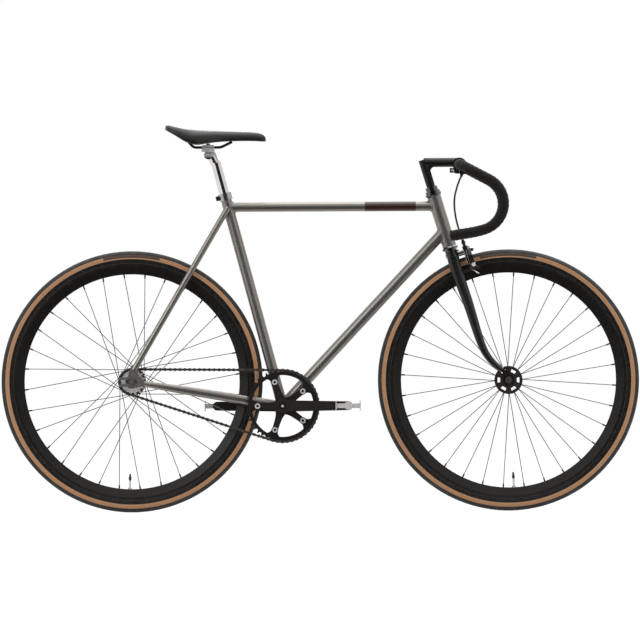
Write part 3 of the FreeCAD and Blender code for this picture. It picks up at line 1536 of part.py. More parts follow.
def fork_tip(name, side):
    """A slotted plate that takes the front axle from below."""
    turn = math.radians(size("blade_bend_angle"))
    along = AHEAD * math.sin(turn) - STEER * math.cos(turn)
    over = AHEAD * math.cos(turn) + STEER * math.sin(turn)
    tip_centre = list(blade_stations(side))[-1][0]
    tip_centre = V(tip_centre.x, 0, tip_centre.z)
    tongue = tip_centre - along * size("dropout_tongue")
    half = size("blade_tip_depth") / 2 - 2.5
    eye = 13
    corners = [
        tongue - over * half,
        tongue + over * half,
        FRONT_AXLE + AHEAD * eye + STEER * (eye - 3),
        FRONT_AXLE + AHEAD * eye - STEER * (eye / 2),
        FRONT_AXLE + AHEAD * (eye - 4) - STEER * eye,
        FRONT_AXLE - AHEAD * (eye - 4) - STEER * eye,
        FRONT_AXLE - AHEAD * eye - STEER * (eye / 2),
        FRONT_AXLE - AHEAD * eye + STEER * (eye / 2),
        tongue - over * half + along * (2 * size("dropout_tongue")),
    ]
    inner = ACROSS * side * (size("front_over_locknut") / 2)
    corners = [corner + inner for corner in corners]
    thick = ACROSS * side * size("fork_tip_thickness")
    plate = Part.Face(Part.makePolygon(corners + corners[:1])).extrude(thick)
    half_slot = size("front_axle_radius") + 4 * size("sliding_clearance")
    hole = Part.makeCylinder(half_slot, size("fork_tip_thickness"), FRONT_AXLE + inner, ACROSS * side)
    left = FRONT_AXLE + inner - AHEAD * half_slot
    right = FRONT_AXLE + inner + AHEAD * half_slot
    below = STEER * (-2 * eye)
    mouth = Part.Face(Part.makePolygon([left, right, right + below, left + below, left])).extrude(thick)
    return computed(name, plate.cut(hole).cut(mouth))


def make_fork():
    bolt_hole = brake_bolt_rod("brake_bolt_hole", size.brake_bolt_radius + size.sliding_clearance,
                               -size("crown_depth"), size.crown_depth * 2)
    fit = size.steerer_radius + size.sliding_clearance
    bore = size.quill_radius + size.sliding_clearance
    tube_length = STEERER_TOP - CROWN_BOTTOM
    outside = rod("steerer_outside", size.steerer_radius, tube_length, on_frame(STEER_FRAME, CROWN_BOTTOM))
    inside = rod("steerer_inside", bore, tube_length, on_frame(STEER_FRAME, CROWN_BOTTOM))
    node(cut("fork_steerer", outside, inside, bolt_hole), "fork_steerer")

    crown = new_body("crown_block")
    half_depth = size.crown_depth / 2
    spread = size.blade_spread
    add_pad(crown, "crown_bar", lambda sketch: draw_outline(sketch, (
        (-half_depth, -spread), (half_depth, -spread), (half_depth, spread), (-half_depth, spread))),
        size.crown_height)
    for word, way in (("right", -1), ("left", 1)):
        add_pad(crown, f"crown_shoulder_{word}", lambda sketch, way=way: draw_circle(
            sketch, 0, spread * way, half_depth), size.crown_height)
    add_pocket(crown, "crown_bore", lambda sketch: draw_circle(sketch, 0, 0, fit))
    crown.Placement = on_frame(STEER_FRAME, CROWN_BOTTOM)
    node(cut("fork_crown", crown, bolt_hole), "fork_crown")

    pieces = []
    for word, side in (("right", -1), ("left", 1)):
        plate = fork_tip(f"fork_tip_{word}", side)
        stations = list(blade_stations(side))
        plug_at = V(FRONT_AXLE.x, stations[-1][0].y, FRONT_AXLE.z)
        plug = (stations[-1][0] - plug_at).Length + size("stay_plug_length")
        blade = computed(f"blade_{word}_tube", hollow_loft(stations, size("blade_wall"), plug_at, plug))
        pieces.append(cut(f"blade_{word}", blade, plate))
        pieces.append(plate)
    node(group("fork_blades", *pieces), "fork_blades")


def make_headset_races():
    """What turns with the fork: races, ball rings and the top locknut."""
    fit = size.steerer_radius + size.sliding_clearance
    ball = size.headset_ball_ring_radius
    ring_height = 3.6
    pieces = []

    def ring(name, inner, outer, foot, height):
        piece = turned(name, ((inner, 0), (outer, 0), (outer, height), (inner, height)))
        piece.Placement = on_frame(STEER_FRAME, foot)
        pieces.append(piece)

    ring("crown_race", fit, size.crown_race_radius, size("axle_to_crown"), size.crown_race_height)
    ring("lower_ball_ring", ball - 1.8, ball + 2.2, LOWER_RACE_TOP + 0.1, ring_height)
    ring("upper_ball_ring", ball - 1.8, ball + 2.2, UPPER_RACE_FOOT - 0.1 - ring_height, ring_height)
    ring("adjusting_race", fit, size.headset_cup_radius - 2, UPPER_RACE_FOOT, size.adjusting_race_height)
    ring("headset_locknut", fit, size.headset_locknut_radius, LOCKNUT_FOOT, size.locknut_height)
    node(group("headset_races", *pieces), "headset_races")


# Stem, bar and tape

BAR_CENTRE = V(size("bar_clamp_forward"), 0, size("bar_clamp_height"))
# The extension runs level and meets the clamp a little above its middle
STEM_END = V(size("bar_clamp_forward"), 0, size("stem_height"))


def stem_web(corner):
    """The rounded web that fills the inside corner between the quill and the extension."""
    hollow = 12
    half_width = 8
    buried = 4
    along = (STEM_END - corner).normalize()
    under = V(along.z, 0, -along.x) * (size("stem_radius") - 1)
    ahead = AHEAD * (size("stem_radius") - 1.6)
    half_corner = (-STEER).getAngle(along) / 2
    meeting = corner + (under + ahead) / (1 + math.cos(math.pi - 2 * half_corner))
    tangent = hollow / math.tan(half_corner)
    low = meeting - STEER * tangent
    high = meeting + along * tangent
    inward = (along - STEER).normalize()
    middle = meeting + inward * (hollow / math.sin(half_corner) - hollow)
    root = meeting - inward * buried
    edges = [
        Part.LineSegment(root, low).toShape(),
        Part.Arc(low, middle, high).toShape(),
        Part.LineSegment(high, root).toShape(),
    ]
    web = Part.Face(Part.Wire(edges)).extrude(ACROSS * (2 * half_width))
    return computed("stem_web", web, Placement(ACROSS * -half_width, Rotation()))


def make_stem():
    """A quill stem: quill, level extension and bar clamp, with an expander inside the steerer."""
    quill_foot = STEERER_TOP - size("quill_insert")
    corner = at_height(STEER_FOOT, STEER, size("stem_height"))
    corner_station = (corner - STEER_FOOT).dot(STEER)
    bolt_fit = 4.1
    head_radius = 6
    quill_length = corner_station - quill_foot
    quill = rod("stem_quill", size.quill_radius, quill_length, on_frame(STEER_FRAME, quill_foot))
    neck_foot = STEERER_TOP + 6
    neck_radius = size.stem_radius - 0.6
    neck = rod("stem_neck", neck_radius, corner_station + 7 - neck_foot, on_frame(STEER_FRAME, neck_foot))
    reach = rod_between("stem_reach", size.stem_radius, corner, STEM_END)
    half_clamp = ACROSS * (size("bar_clamp_width") / 2)
    clamp = rod_between("stem_clamp", size.bar_clamp_radius, BAR_CENTRE - half_clamp, BAR_CENTRE + half_clamp)
    ear_drop = size("bar_clamp_radius") + 6
    ears = block("stem_ears", 16, 16, 14, Placement(BAR_CENTRE - V(0, 0, ear_drop), Rotation()))
    bar_hole = rod_between("stem_bar_hole", size.bar_radius + size.sliding_clearance,
                           BAR_CENTRE - half_clamp * 2, BAR_CENTRE + half_clamp * 2)
    slit = block("stem_slit", 1.6, size.bar_clamp_width * 2, size.bar_clamp_radius * 2,
                 Placement(BAR_CENTRE - V(0, 0, 2 * size("bar_clamp_radius")), Rotation()))
    long_hole = rod("stem_bolt_hole", bolt_fit, 400, on_frame(STEER_FRAME, quill_foot - 1))
    head_hole_foot = corner_station - 3
    head_hole = rod("stem_head_hole", head_radius + 0.2, 40, on_frame(STEER_FRAME, head_hole_foot))
    ear_bolt_at = BAR_CENTRE + V(-12, 0, -ear_drop + 4)
    ear_hole = rod("stem_ear_hole", 2.55, 24, facing(ear_bolt_at, V(1, 0, 0)))
    body = fuse("stem", quill, neck, reach, clamp, ears, stem_web(corner))
    node(cut("stem", body, bar_hole, slit, long_hole, head_hole, ear_hole), "stem")

    wedge_height = 22
    wedge_foot = quill_foot - wedge_height - 0.3
    wedge_rod = rod("expander_blank", size.quill_radius, wedge_height, on_frame(STEER_FRAME, wedge_foot))
    wedge_hole = rod("expander_hole", bolt_fit, wedge_height, on_frame(STEER_FRAME, wedge_foot))
    wedge = cut("expander", wedge_rod, wedge_hole)
    shank = rod("expander_bolt_shank", bolt_fit - size("sliding_clearance"), head_hole_foot - wedge_foot,
                on_frame(STEER_FRAME, wedge_foot))
    head = rod("expander_bolt_head", head_radius, 8, on_frame(STEER_FRAME, head_hole_foot))
    long_bolt = fuse("expander_bolt", shank, head)
    ear_shank = rod("clamp_bolt_shank", 2.5, 20, facing(ear_bolt_at + V(4, 0, 0), V(1, 0, 0)))
    ear_head = rod("clamp_bolt_head", 3.6, 4, facing(ear_bolt_at, V(1, 0, 0)))
    node(group("stem_bolts", wedge, long_bolt, fuse("clamp_bolt", ear_shank, ear_head)), "stem_bolts")


def bar_moves(side, start):
    """The bar's line from a distance off the middle: top, corner, ramp, hook and drop."""
    outward = ACROSS * side
    slope = math.radians(size("ramp_angle"))
    ramp = V(math.cos(slope), 0, -math.sin(slope))
    corner = size("bar_corner_radius")
    moves = [
        (size("drop_spread") - corner - start,),
        (corner, 90, outward.cross(ramp)),
        (size("ramp_length"),),
        (size("hook_radius"), size("hook_turn"), ACROSS),
        (size("drop_radius"), size("drop_turn"), ACROSS),
    ]
    return BAR_CENTRE + outward * start, outward, moves


def make_bar():
    halves = []
    wraps = []
    tape_radius = size("bar_radius") + size("tape_thickness")
    plug_thickness = 4
    for side in (-1, 1):
        start, outward, moves = bar_moves(side, 0)
        path, end, heading = bent_path(start, outward, moves + [(size("drop_length"),)])
        halves.append(swept_tube(path, outward, size("bar_radius"), size("bar_radius") - size("bar_wall")))
        wraps.append(Part.makeCylinder(tape_radius - 0.5, plug_thickness, end, heading))
        start, outward, moves = bar_moves(side, size("tape_start"))
        path, end, heading = bent_path(start, outward, moves + [(size("drop_length") - 0.2,)])
        wraps.append(swept_tube(path, outward, tape_radius, size("bar_radius") + size("sliding_clearance")))
    node(computed("handlebar", halves[0].fuse(halves[1]).removeSplitter()), "handlebar")
    node(computed("bar_tape", Part.makeCompound(wraps)), "bar_tape")


# Front brake: two arms on one bolt, both worked at the drive side

ARM_RIGHT_FACE = size("brake_rear_face")
ARM_LEFT_FACE = ARM_RIGHT_FACE + size("brake_arm_thickness") + size("running_gap")
CABLE_AHEAD = ARM_RIGHT_FACE + size("brake_arm_thickness") / 2


def arm_leg(way):
    """Outline of an arm's leg from the bolt down to the pad, in (across, station)."""
    bolt = size.brake_bolt_station
    inner = size.rim_width / 2 + size.pad_gap + size.pad_thickness + 1.2
    outer = inner + size.brake_arm_width
    foot = size.pad_station - size.brake_arm_width / 2
    return (
        (inner * 0, bolt + 8), (outer * 0.6 * way, bolt + 5), (outer * way, bolt - 12), (outer * way, foot),
        (inner * way, foot), (inner * way, bolt - 19), (inner * 0.7 * way, bolt - 10),
        (inner * 0, bolt - 9.5),
    )


def make_brake_arms():
    bolt = size.brake_bolt_station
    fit = size.brake_bolt_radius + size.sliding_clearance
    thickness = size.brake_arm_thickness
    reach = size.cable_offset
    half_arm = size.brake_arm_width / 2
    stop_station = size("brake_bolt_station") + 8
    anchor_station = size("brake_bolt_station") - 40
    # The right arm also carries the cable stop, the left arm reaches over to the cable anchor
    cable_arms = {
        "right": ((-8, bolt), (-(reach - 6), bolt + 1), (-(reach + 8), bolt + 3), (-(reach + 8), bolt + 13),
                  (-(reach - 6), bolt + 13), (-8, bolt + 9)),
        "left": ((0, bolt + 8), (-(reach - 12), bolt + 4), (-(reach + half_arm), bolt - 14),
                 (-(reach + half_arm), bolt - 47), (-(reach - half_arm), bolt - 47),
                 (-(reach - half_arm), bolt - 18), (-(reach - 17), bolt - 7), (0, bolt - 9)),
    }
    cable_foot = V(-size("cable_offset"), 0, 0)
    for word, way, face in (("right", -1, ARM_RIGHT_FACE), ("left", 1, ARM_LEFT_FACE)):
        name = f"brake_arm_{word}"
        body = new_body(f"{name}_plate")
        add_pad(body, f"{name}_boss", lambda sketch: draw_circle(
            sketch, 0, bolt, size.brake_boss_radius), thickness)
        add_pad(body, f"{name}_leg", lambda sketch, way=way: draw_outline(sketch, arm_leg(way)), thickness)
        add_pad(body, f"{name}_reach", lambda sketch, word=word: draw_outline(
            sketch, cable_arms[word]), thickness)
        add_pocket(body, f"{name}_bore", lambda sketch: draw_circle(sketch, 0, bolt, fit))
        body.Placement = CALIPER_FRAME.multiply(Placement(V(0, 0, face), Rotation()))
        middle = face + size("brake_arm_thickness") / 2
        stud_at = CALIPER_FRAME.multiply(Placement(V(0, size("pad_station"), middle), Rotation()))
        outward = ACROSS * way
        inner = size("rim_width") / 2 + size("pad_gap")
        stud_length = size("pad_thickness") + size("brake_arm_width") + 7
        stud_hole = rod(f"{name}_stud_hole", size.pad_stud_radius + size.sliding_clearance, stud_length * 2,
                        facing(stud_at.Base, outward))
        pieces = []
        if word == "right":
            foot = on_steer(stop_station - 8, CABLE_AHEAD, -size("cable_offset"))
            hole = rod("adjuster_hole", size.adjuster_radius + size.sliding_clearance, 60,
                       facing(foot - STEER * 20, STEER))
            boss = rod("adjuster_boss", size.adjuster_radius + 3, 10, facing(foot + STEER * 3, STEER))
            pieces.append(cut(name, fuse(name, body, boss), stud_hole, hole))
            barrel = rod("adjuster_barrel", size.adjuster_radius, size.adjuster_length, facing(foot, STEER))
            wire = rod("adjuster_bore", size.cable_radius + 0.3, size.adjuster_length, facing(foot, STEER))
            collar = rod("adjuster_collar", size.adjuster_radius + 1.5, 6, facing(foot + STEER * 19, STEER))
            pieces.append(cut("adjuster", fuse("adjuster", barrel, collar), wire))
        else:
            back = CABLE_AHEAD - 4
            bolt_foot = on_steer(anchor_station, back, -size("cable_offset"))
            hole = rod("anchor_hole", size.anchor_radius - 1.5 + 0.05, 60, facing(bolt_foot, AHEAD))
            pieces.append(cut(name, body, stud_hole, hole))
            head = rod("anchor_head", size.anchor_radius, ARM_LEFT_FACE - back, facing(bolt_foot, AHEAD))
            nut_face = ARM_LEFT_FACE - back + size("brake_arm_thickness")
            shank = rod("anchor_shank", size.anchor_radius - 1.5, nut_face + 1, facing(bolt_foot, AHEAD))
            nut = hexagon("anchor_nut", size.brake_nut_size * 0.9, 4,
                          facing(bolt_foot + AHEAD * nut_face, AHEAD))
            clamp_at = on_steer(anchor_station - 20, CABLE_AHEAD, -size("cable_offset"))
            wire = rod("anchor_wire_hole", size.cable_radius + 0.1, 40, facing(clamp_at, STEER))
            pieces.append(cut("anchor", fuse("anchor", head, shank, nut), wire))
        node(group(name, *pieces), name)

        pad_place = stud_at.multiply(Placement(V(way * inner, 0, 0), Rotation(V(0, 0, 1), V(way, 0, 0))))
        rubber = block(f"pad_rubber_{word}", size.pad_height, size.pad_length, size.pad_thickness, Placement(
            on_steer(size("pad_station"), middle, way * inner), Rotation(STEER, AHEAD * way, outward, "ZXY")))
        stud = rod(f"pad_stud_{word}", size.pad_stud_radius, stud_length - size("pad_thickness"),
                   facing(pad_place.Base + outward * size("pad_thickness"), outward))
        nut_at = pad_place.Base + outward * (stud_length - 5)
        nut = hexagon(f"pad_nut_{word}", size.brake_nut_size, 4, facing(nut_at, outward))
        node(group(f"brake_pad_{word}", rubber, fuse(f"pad_stud_{word}", stud, nut)), f"brake_pad_{word}")


def make_brake_bolt():
    """The pivot bolt through the crown, with its spacer and nuts, and the return spring over it."""
    back_nut = size("brake_back_nut_height")
    bolt_end = size("brake_nut_height") + 2
    front = ARM_LEFT_FACE + size("brake_arm_thickness") + size("running_gap")
    back = -size("crown_depth") / 2
    crown_face = size("crown_depth") / 2
    shank = brake_bolt_rod("brake_bolt_shank", size.brake_bolt_radius, back - back_nut,
                           front + bolt_end - back + back_nut)
    spacer = brake_bolt_rod("brake_bolt_spacer", size.brake_spacer_radius, crown_face,
                            ARM_RIGHT_FACE - size("running_gap") - crown_face)
    pieces = [shank, spacer]
    nuts = (("front", front, size.brake_nut_height), ("back", back - back_nut, size.brake_back_nut_height))
    for word, foot, height in nuts:
        pieces.append(hexagon(f"brake_bolt_nut_{word}", size.brake_nut_size, height,
                              facing(on_steer(size("brake_bolt_station"), foot), AHEAD)))
    node(fuse("brake_pivot_bolt", *pieces), "brake_pivot_bolt")

    wire = size("spring_wire_radius")
    over = size("brake_spacer_radius") + wire + 0.2
    foot_across = 27
    foot_drop = 31
    ahead = ARM_RIGHT_FACE - wire - 0.3
    distance = math.hypot(foot_across, foot_drop)
    climb = math.atan2(foot_drop, foot_across) + math.asin(over / distance)
    run = math.sqrt(distance ** 2 - over ** 2)
    start = on_steer(size("brake_bolt_station") - foot_drop, ahead, -foot_across)
    heading = ACROSS * math.cos(climb) + STEER * math.sin(climb)
    path, end, last = bent_path(start, heading, [(run,), (over, -2 * math.degrees(climb), AHEAD), (run,)])
    spring = swept_tube(path, heading, wire)
    node(computed("brake_spring", spring), "brake_spring")


# Brake lever and its cable

LEVER_PIVOT = BAR_CENTRE + V(size("lever_pivot_forward"), -size("lever_station"), -size("lever_drop"))
EXIT_TILT = math.radians(size("cable_exit_tilt"))
CABLE_EXIT = V(-math.sin(EXIT_TILT), 0, -math.cos(EXIT_TILT))


def make_lever():
    """A short lever ahead of the bar's top, on a band clamped beside the stem."""
    eye = size("lever_eye_height")
    gap = size("running_gap")
    ear = 5
    station = BAR_CENTRE - ACROSS * size("lever_station")
    half_band = ACROSS * (size("lever_band_width") / 2)
    band_radius = size.bar_radius + size.lever_band_thickness
    band = rod_between("lever_band", band_radius, station - half_band, station + half_band)
    length = size("lever_pivot_forward") + size("lever_eye_radius")
    height = eye + 2 * (gap + ear)
    body_foot = LEVER_PIVOT - V(0, 0, eye / 2 + gap + ear)
    body = block("lever_body", length, size.lever_band_width, height,
                 Placement(station + V(length / 2, 0, body_foot.z - station.z), Rotation()))
    hole = rod_between("lever_band_hole", size.bar_radius + size.sliding_clearance,
                       station - half_band * 2, station + half_band * 2)
    mouth_back = size("lever_eye_radius") + 2
    mouth_length = 2 * mouth_back
    mouth = block("lever_mouth", mouth_length, size.lever_band_width * 2, eye + 2 * gap,
                  Placement(LEVER_PIVOT - V(0, 0, eye / 2 + gap), Rotation()))
    pin_fit = size.lever_pin_radius + size.sliding_clearance
    pin_hole = rod("lever_pin_hole", pin_fit, height, Placement(body_foot, Rotation()))
    exit_at = V(station.x + 6, station.y, body_foot.z)
    ferrule_foot = exit_at - CABLE_EXIT * 2
    ferrule = rod("lever_ferrule", size.housing_radius + 1.5, 8, facing(ferrule_foot, CABLE_EXIT))
    wire_foot = exit_at - CABLE_EXIT * 10
    wire = rod("lever_wire_hole", size.cable_radius + 0.3, 24, facing(wire_foot, CABLE_EXIT))
    # A clamp ear behind the bar closes the band
    ear_foot = station - V(size("lever_ear_length"), 0, size("lever_ear_height") + 9)
    clamp_ear = block("lever_ear", size.lever_ear_length, size.lever_ear_width, size.lever_ear_height,
                      Placement(ear_foot, Rotation()))
    blank = fuse("lever_bracket", band, body, ferrule, clamp_ear)
    bracket = cut("lever_bracket", blank, hole, mouth, pin_hole, wire)
    pin = rod("lever_pin", size.lever_pin_radius, height, Placement(body_foot, Rotation()))
    node(group("brake_lever_bracket", bracket, pin), "brake_lever_bracket")

    blade = new_body("lever_arm")
    reach = size.lever_blade_length
    thick = size.lever_blade_thickness
    hub = size.lever_eye_radius
    add_pad(blade, "lever_eye", lambda sketch: draw_circle(sketch, 0, 0, hub), size.lever_eye_height)
    add_pad(blade, "lever_blade", lambda sketch: draw_outline(sketch, (
        (-hub * 0.7, 0), (hub * 0.9, -hub * 0.4), (hub * 1.3, hub * 1.5), (thick + 10, reach * 0.48),
        (thick + 11, reach - 3), (thick + 8, reach + 1), (12, reach), (10, reach * 0.5), (0, hub * 2))),
        size.lever_eye_height)
    add_pocket(blade, "lever_eye_bore", lambda sketch: draw_circle(sketch, 0, 0, pin_fit))
    blade.Placement = Placement(LEVER_PIVOT + V(0, 0, eye / 2), Rotation(V(1, 0, 0), 180))
    node(blade, "brake_lever")
    return exit_at + CABLE_EXIT * (6 + size("sliding_clearance"))


def rounded_path(points):
    """Edges through points with an arc at each corner, as large as its runs allow."""
    edges = []
    radii = []
    start = points[0]
    for before, corner, after in zip(points, points[1:], points[2:]):
        arriving = (corner - before).normalize()
        leaving = (after - corner).normalize()
        turn = arriving.getAngle(leaving)
        tangent = 0.45 * min((corner - before).Length, (after - corner).Length)
        radii.append(tangent / math.tan(turn / 2))
        arc_start = corner - arriving * tangent
        arc_end = corner + leaving * tangent
        inward = (leaving - arriving).normalize()
        sag = radii[-1] * (1 / math.cos(turn / 2) - 1)
        edges.append(Part.LineSegment(start, arc_start).toShape())
        edges.append(Part.Arc(arc_start, corner + inward * sag, arc_end).toShape())
        start = arc_end
    edges.append(Part.LineSegment(start, points[-1]).toShape())
    return edges, radii


def make_cable(exit_at):
    """The cable housing from the lever to the caliper, and the wire that runs through it."""
    cap_foot = size("brake_bolt_station") + size("adjuster_length") + 0.3
    cap = on_steer(cap_foot, CABLE_AHEAD, -size("cable_offset"))
    points = [
        exit_at,
        exit_at + CABLE_EXIT * 22,
        V(350, -68, 815),
        V(349.5, -63, 786),
        V(354, -56, 756),
        V(361, -50, 730),
        cap + STEER * 16,
        cap,
    ]
    route, radii = rounded_path(points)
    path = Part.Wire(route)
    heading = points[1] - points[0]
    bore = size("cable_radius") + 0.35
    housing = swept_tube(path, heading, size("housing_radius"), bore)
    section = math.pi * (size("housing_radius") ** 2 - bore ** 2)
    print("housing length", round(path.Length, 1), "radii", [round(radius, 1) for radius in radii],
          "volume over section times length", round(housing.Volume / (section * path.Length), 4))
    node(computed("brake_cable_housing", housing), "brake_cable_housing")

    anchor_station = size("brake_bolt_station") - 40
    tail_start = on_steer(anchor_station - 10, CABLE_AHEAD, -size("cable_offset"))
    tail_end = tail_start - STEER * 12 + AHEAD * 11
    wire_start = exit_at - CABLE_EXIT * 10
    tail, tail_radii = rounded_path([cap, tail_start, tail_end])
    path = Part.Wire([Part.LineSegment(wire_start, exit_at).toShape()] + route + tail)
    wire = swept_tube(path, heading, size("cable_radius"))
    node(computed("brake_cable", wire), "brake_cable")


def make_front_end():
    make_fork()
    make_headset_races()
    make_stem()
    make_bar()
    make_brake_arms()
    make_brake_bolt()
    make_cable(make_lever())


# Seat post and saddle

RAIL_CLAMP = V(size("rail_clamp_forward"), 0, size("rail_height"))
# Down the saddle from tail to nose: forward, top, lower edge, half width
SADDLE_STATIONS = (
    (-398.6, 999.4, 993.5, 44),
    (-393.0, 1001.8, 990.0, 60),
    (-376.0, 999.2, 980.5, 71),
    (-346.0, 994.4, 962.5, 75),
    (-320.0, 991.7, 954.6, 71),
    (-286.0, 989.8, 958.8, 55),
    (-254.0, 988.3, 962.0, 38),
    (-203.0, 986.3, 963.6, 24),
    (-165.0, 983.2, 963.2, 19.5),
    (-147.0, 976.8, 962.6, 16),
    (-138.5, 969.6, 962.8, 10),
)


def saddle_section(forward, top, edge, half_width):
    """One cross section: drawn-in sides, rounded shoulders and a gentle crown over a flat foot."""
    height = top - edge
    side = half_width * 0.96
    shoulder = half_width * 0.62
    foot_left = V(forward, -half_width, edge)
    foot_right = V(forward, half_width, edge)
    side_left = V(forward, -side, edge + height * 0.62)
    side_right = V(forward, side, edge + height * 0.62)
    top_left = V(forward, -shoulder, top - height * 0.06)
    top_right = V(forward, shoulder, top - height * 0.06)
    edges = [
        Part.Arc(foot_left, side_left, top_left).toShape(),
        Part.Arc(top_left, V(forward, 0, top), top_right).toShape(),
        Part.Arc(top_right, side_right, foot_right).toShape(),
        Part.LineSegment(foot_right, foot_left).toShape(),
    ]
    return Part.Wire(edges)


def saddle_form(stations, inset, lowered, deeper):
    """The saddle's form, drawn in by an inset, lowered at the top and carried down past its edge."""
    sections = []
    for forward, top, edge, half_width in stations:
        sections.append(saddle_section(forward, top - lowered, edge - deeper, half_width - inset))
    return Part.makeLoft(sections, True)


def rail_path(side):
    """A rail's line: down from the tail, level through the clamp, up to the nose."""
    spread = side * size("rail_spread")
    tail = size("rail_tail_forward")
    tail_run = size("rail_tail_run")
    tail_radius = size("rail_tail_radius")
    turn = math.radians(size("rail_tail_drop"))
    back = tail_run * math.cos(turn) + tail_radius * math.sin(turn)
    lift_by = tail_run * math.sin(turn) + tail_radius * (1 - math.cos(turn))
    start = V(tail - back, spread, size("rail_height") + lift_by)
    heading = V(math.cos(turn), 0, -math.sin(turn))
    moves = [
        (tail_run,),
        (tail_radius, -size("rail_tail_drop"), ACROSS),
        (size("rail_nose_forward") - tail,),
        (size("rail_nose_radius"), -size("rail_nose_rise"), ACROSS),
        (size("rail_nose_run"),),
    ]
    path, end, last = bent_path(start, heading, moves)
    return path, heading, start, end


def make_seatpost():
    foot = size("seat_tube_length") - size("seatpost_insert")
    head_station = size("seatpost_rise")
    length = head_station - foot
    outside = rod("seatpost_outside", size.seatpost_radius, length, on_frame(SEAT_FRAME, foot))
    bore = size.seatpost_radius - size.seatpost_wall
    inside = rod("seatpost_inside", bore, length - 24, on_frame(SEAT_FRAME, foot))
    neck_start = on_seat_tube(head_station - 14)
    neck_end = RAIL_CLAMP - V(-3, 0, 9)
    neck = rod_between("seatpost_neck", size.seatpost_radius - 1.2, neck_start, neck_end)
    cradle_centre = RAIL_CLAMP - V(0, 0, 20)
    half_cradle = ACROSS * (size("cradle_width") / 2)
    cradle = rod_between("seatpost_cradle", size.cradle_radius, cradle_centre - half_cradle, cradle_centre + half_cradle)
    # Everything above the clamp's bed is cut away, with a little room under it
    bed_foot = size("clamp_bed_height") + size("clamp_split") + 0.2
    level = block("seatpost_level", 80, 80, 40, Placement(RAIL_CLAMP - V(0, 0, bed_foot), Rotation()))
    bolt_hole = rod("seatpost_bolt_hole", size.clamp_bolt_radius + 0.1, 40,
                    Placement(RAIL_CLAMP - V(0, 0, 36), Rotation()))
    body = fuse("seatpost", outside, neck, cradle)
    node(cut("seatpost", body, inside, level, bolt_hole), "seatpost")


def make_saddle_clamp(rails):
    """Two plates that grip the rails, held down on the post by one bolt."""
    split = size("clamp_split")
    bed_foot = RAIL_CLAMP - V(0, 0, size("clamp_bed_height") + split)
    lid_foot = RAIL_CLAMP + V(0, 0, split)
    bolt_foot = RAIL_CLAMP - V(0, 0, 30)
    bed = block("clamp_lower_blank", size.clamp_length, size.clamp_width, size.clamp_bed_height,
                Placement(bed_foot, Rotation()))
    lid = block("clamp_upper_blank", size.clamp_length - 4, size.clamp_width, size.clamp_lid_height,
                Placement(lid_foot, Rotation()))
    bolt_hole = rod("clamp_bolt_hole", size.clamp_bolt_radius + 0.1, 60, Placement(bolt_foot, Rotation()))
    lower = cut("clamp_lower", bed, rails, bolt_hole)
    upper = cut("clamp_upper", lid, rails, bolt_hole)
    shank = rod("clamp_shank", size.clamp_bolt_radius, size.clamp_bolt_length, Placement(bolt_foot, Rotation()))
    nut_foot = lid_foot + V(0, 0, size("clamp_lid_height"))
    nut = hexagon("clamp_nut", size.brake_nut_size, 4, Placement(nut_foot, Rotation()))
    node(group("saddle_clamp", lower, upper, fuse("clamp_bolt_seat", shank, nut)), "saddle_clamp")


def make_saddle():
    rails = []
    room = []
    sockets = []
    for side in (-1, 1):
        path, heading, tail, nose = rail_path(side)
        rails.append(swept_tube(path, heading, size("rail_radius")))
        room.append(swept_tube(path, heading, size("rail_radius") + size("sliding_clearance")))
        for end, length in ((tail, 20), (nose, 20)):
            corner = V(end.x - length / 2, end.y - 9, end.z - 6)
            sockets.append(Part.makeBox(length, 18, 60, corner))
    node(computed("saddle_rails", Part.makeCompound(rails)), "saddle_rails")
    rail_room = computed("saddle_rail_room", Part.makeCompound(room))
    make_saddle_clamp(rail_room)

    padding = size("saddle_padding")
    wall = size("saddle_base_thickness")
    gap = 0.15
    middle = SADDLE_STATIONS[1:-1]
    outside = saddle_form(SADDLE_STATIONS, 0, 0, 0)
    inside = saddle_form(middle, padding, padding + 1, 3)
    node(computed("saddle_cover", outside.cut(inside)), "saddle_cover")

    shell = saddle_form(middle, padding + gap, padding + 1 + gap, 3).common(outside)
    hollow = saddle_form(middle[1:-1], padding + wall, padding + 1 + wall, 3)
    base = shell.cut(hollow)
    for socket in sockets:
        base = base.fuse(socket.common(shell))
    for solid in room:
        base = base.cut(solid)
    node(computed("saddle_base", base), "saddle_base")


def make_seat():
    make_seatpost()
    make_saddle()


def main():
    shell_solid, seat_solid, top_back = make_main_tubes()
    make_rear_triangle(shell_solid, seat_solid, top_back)
    make_seat_clamp()
    make_headset_cups()
    make_bracket_cups()
    make_wheels()
    make_drive()
    make_front_end()
    make_seat()
    finish()


def finish():
    """Check every piece, then write one file for each sub-part."""
    doc.recompute()
    broken = [item.Name for item in doc.Objects if {"Invalid", "Error"} & set(item.State)]
    if broken:
        raise RuntimeError(f"failed pieces: {broken}")
    for piece in NODES:
        if piece.Shape.isNull() or not piece.Shape.isValid():
            raise RuntimeError(f"bad shape: {piece.Label}")
    os.makedirs("parts", exist_ok=True)
    for piece in NODES:
        piece.Shape.exportStep(f"parts/{piece.Label}.step")
    print(f"{len(NODES)} sub-parts")
    for piece in NODES:
        box = piece.Shape.BoundBox
        print(f"{piece.Label}: {len(piece.Shape.Solids)} solids, {piece.Shape.Volume:.0f} mm3, "
              f"X {box.XMin:.1f} {box.XMax:.1f} Y {box.YMin:.1f} {box.YMax:.1f} Z {box.ZMin:.1f} {box.ZMax:.1f}")


main()
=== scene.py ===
import math

import bpy
from bpy.props import FloatProperty, FloatVectorProperty, PointerProperty
from mathutils import Matrix, Quaternion, Vector


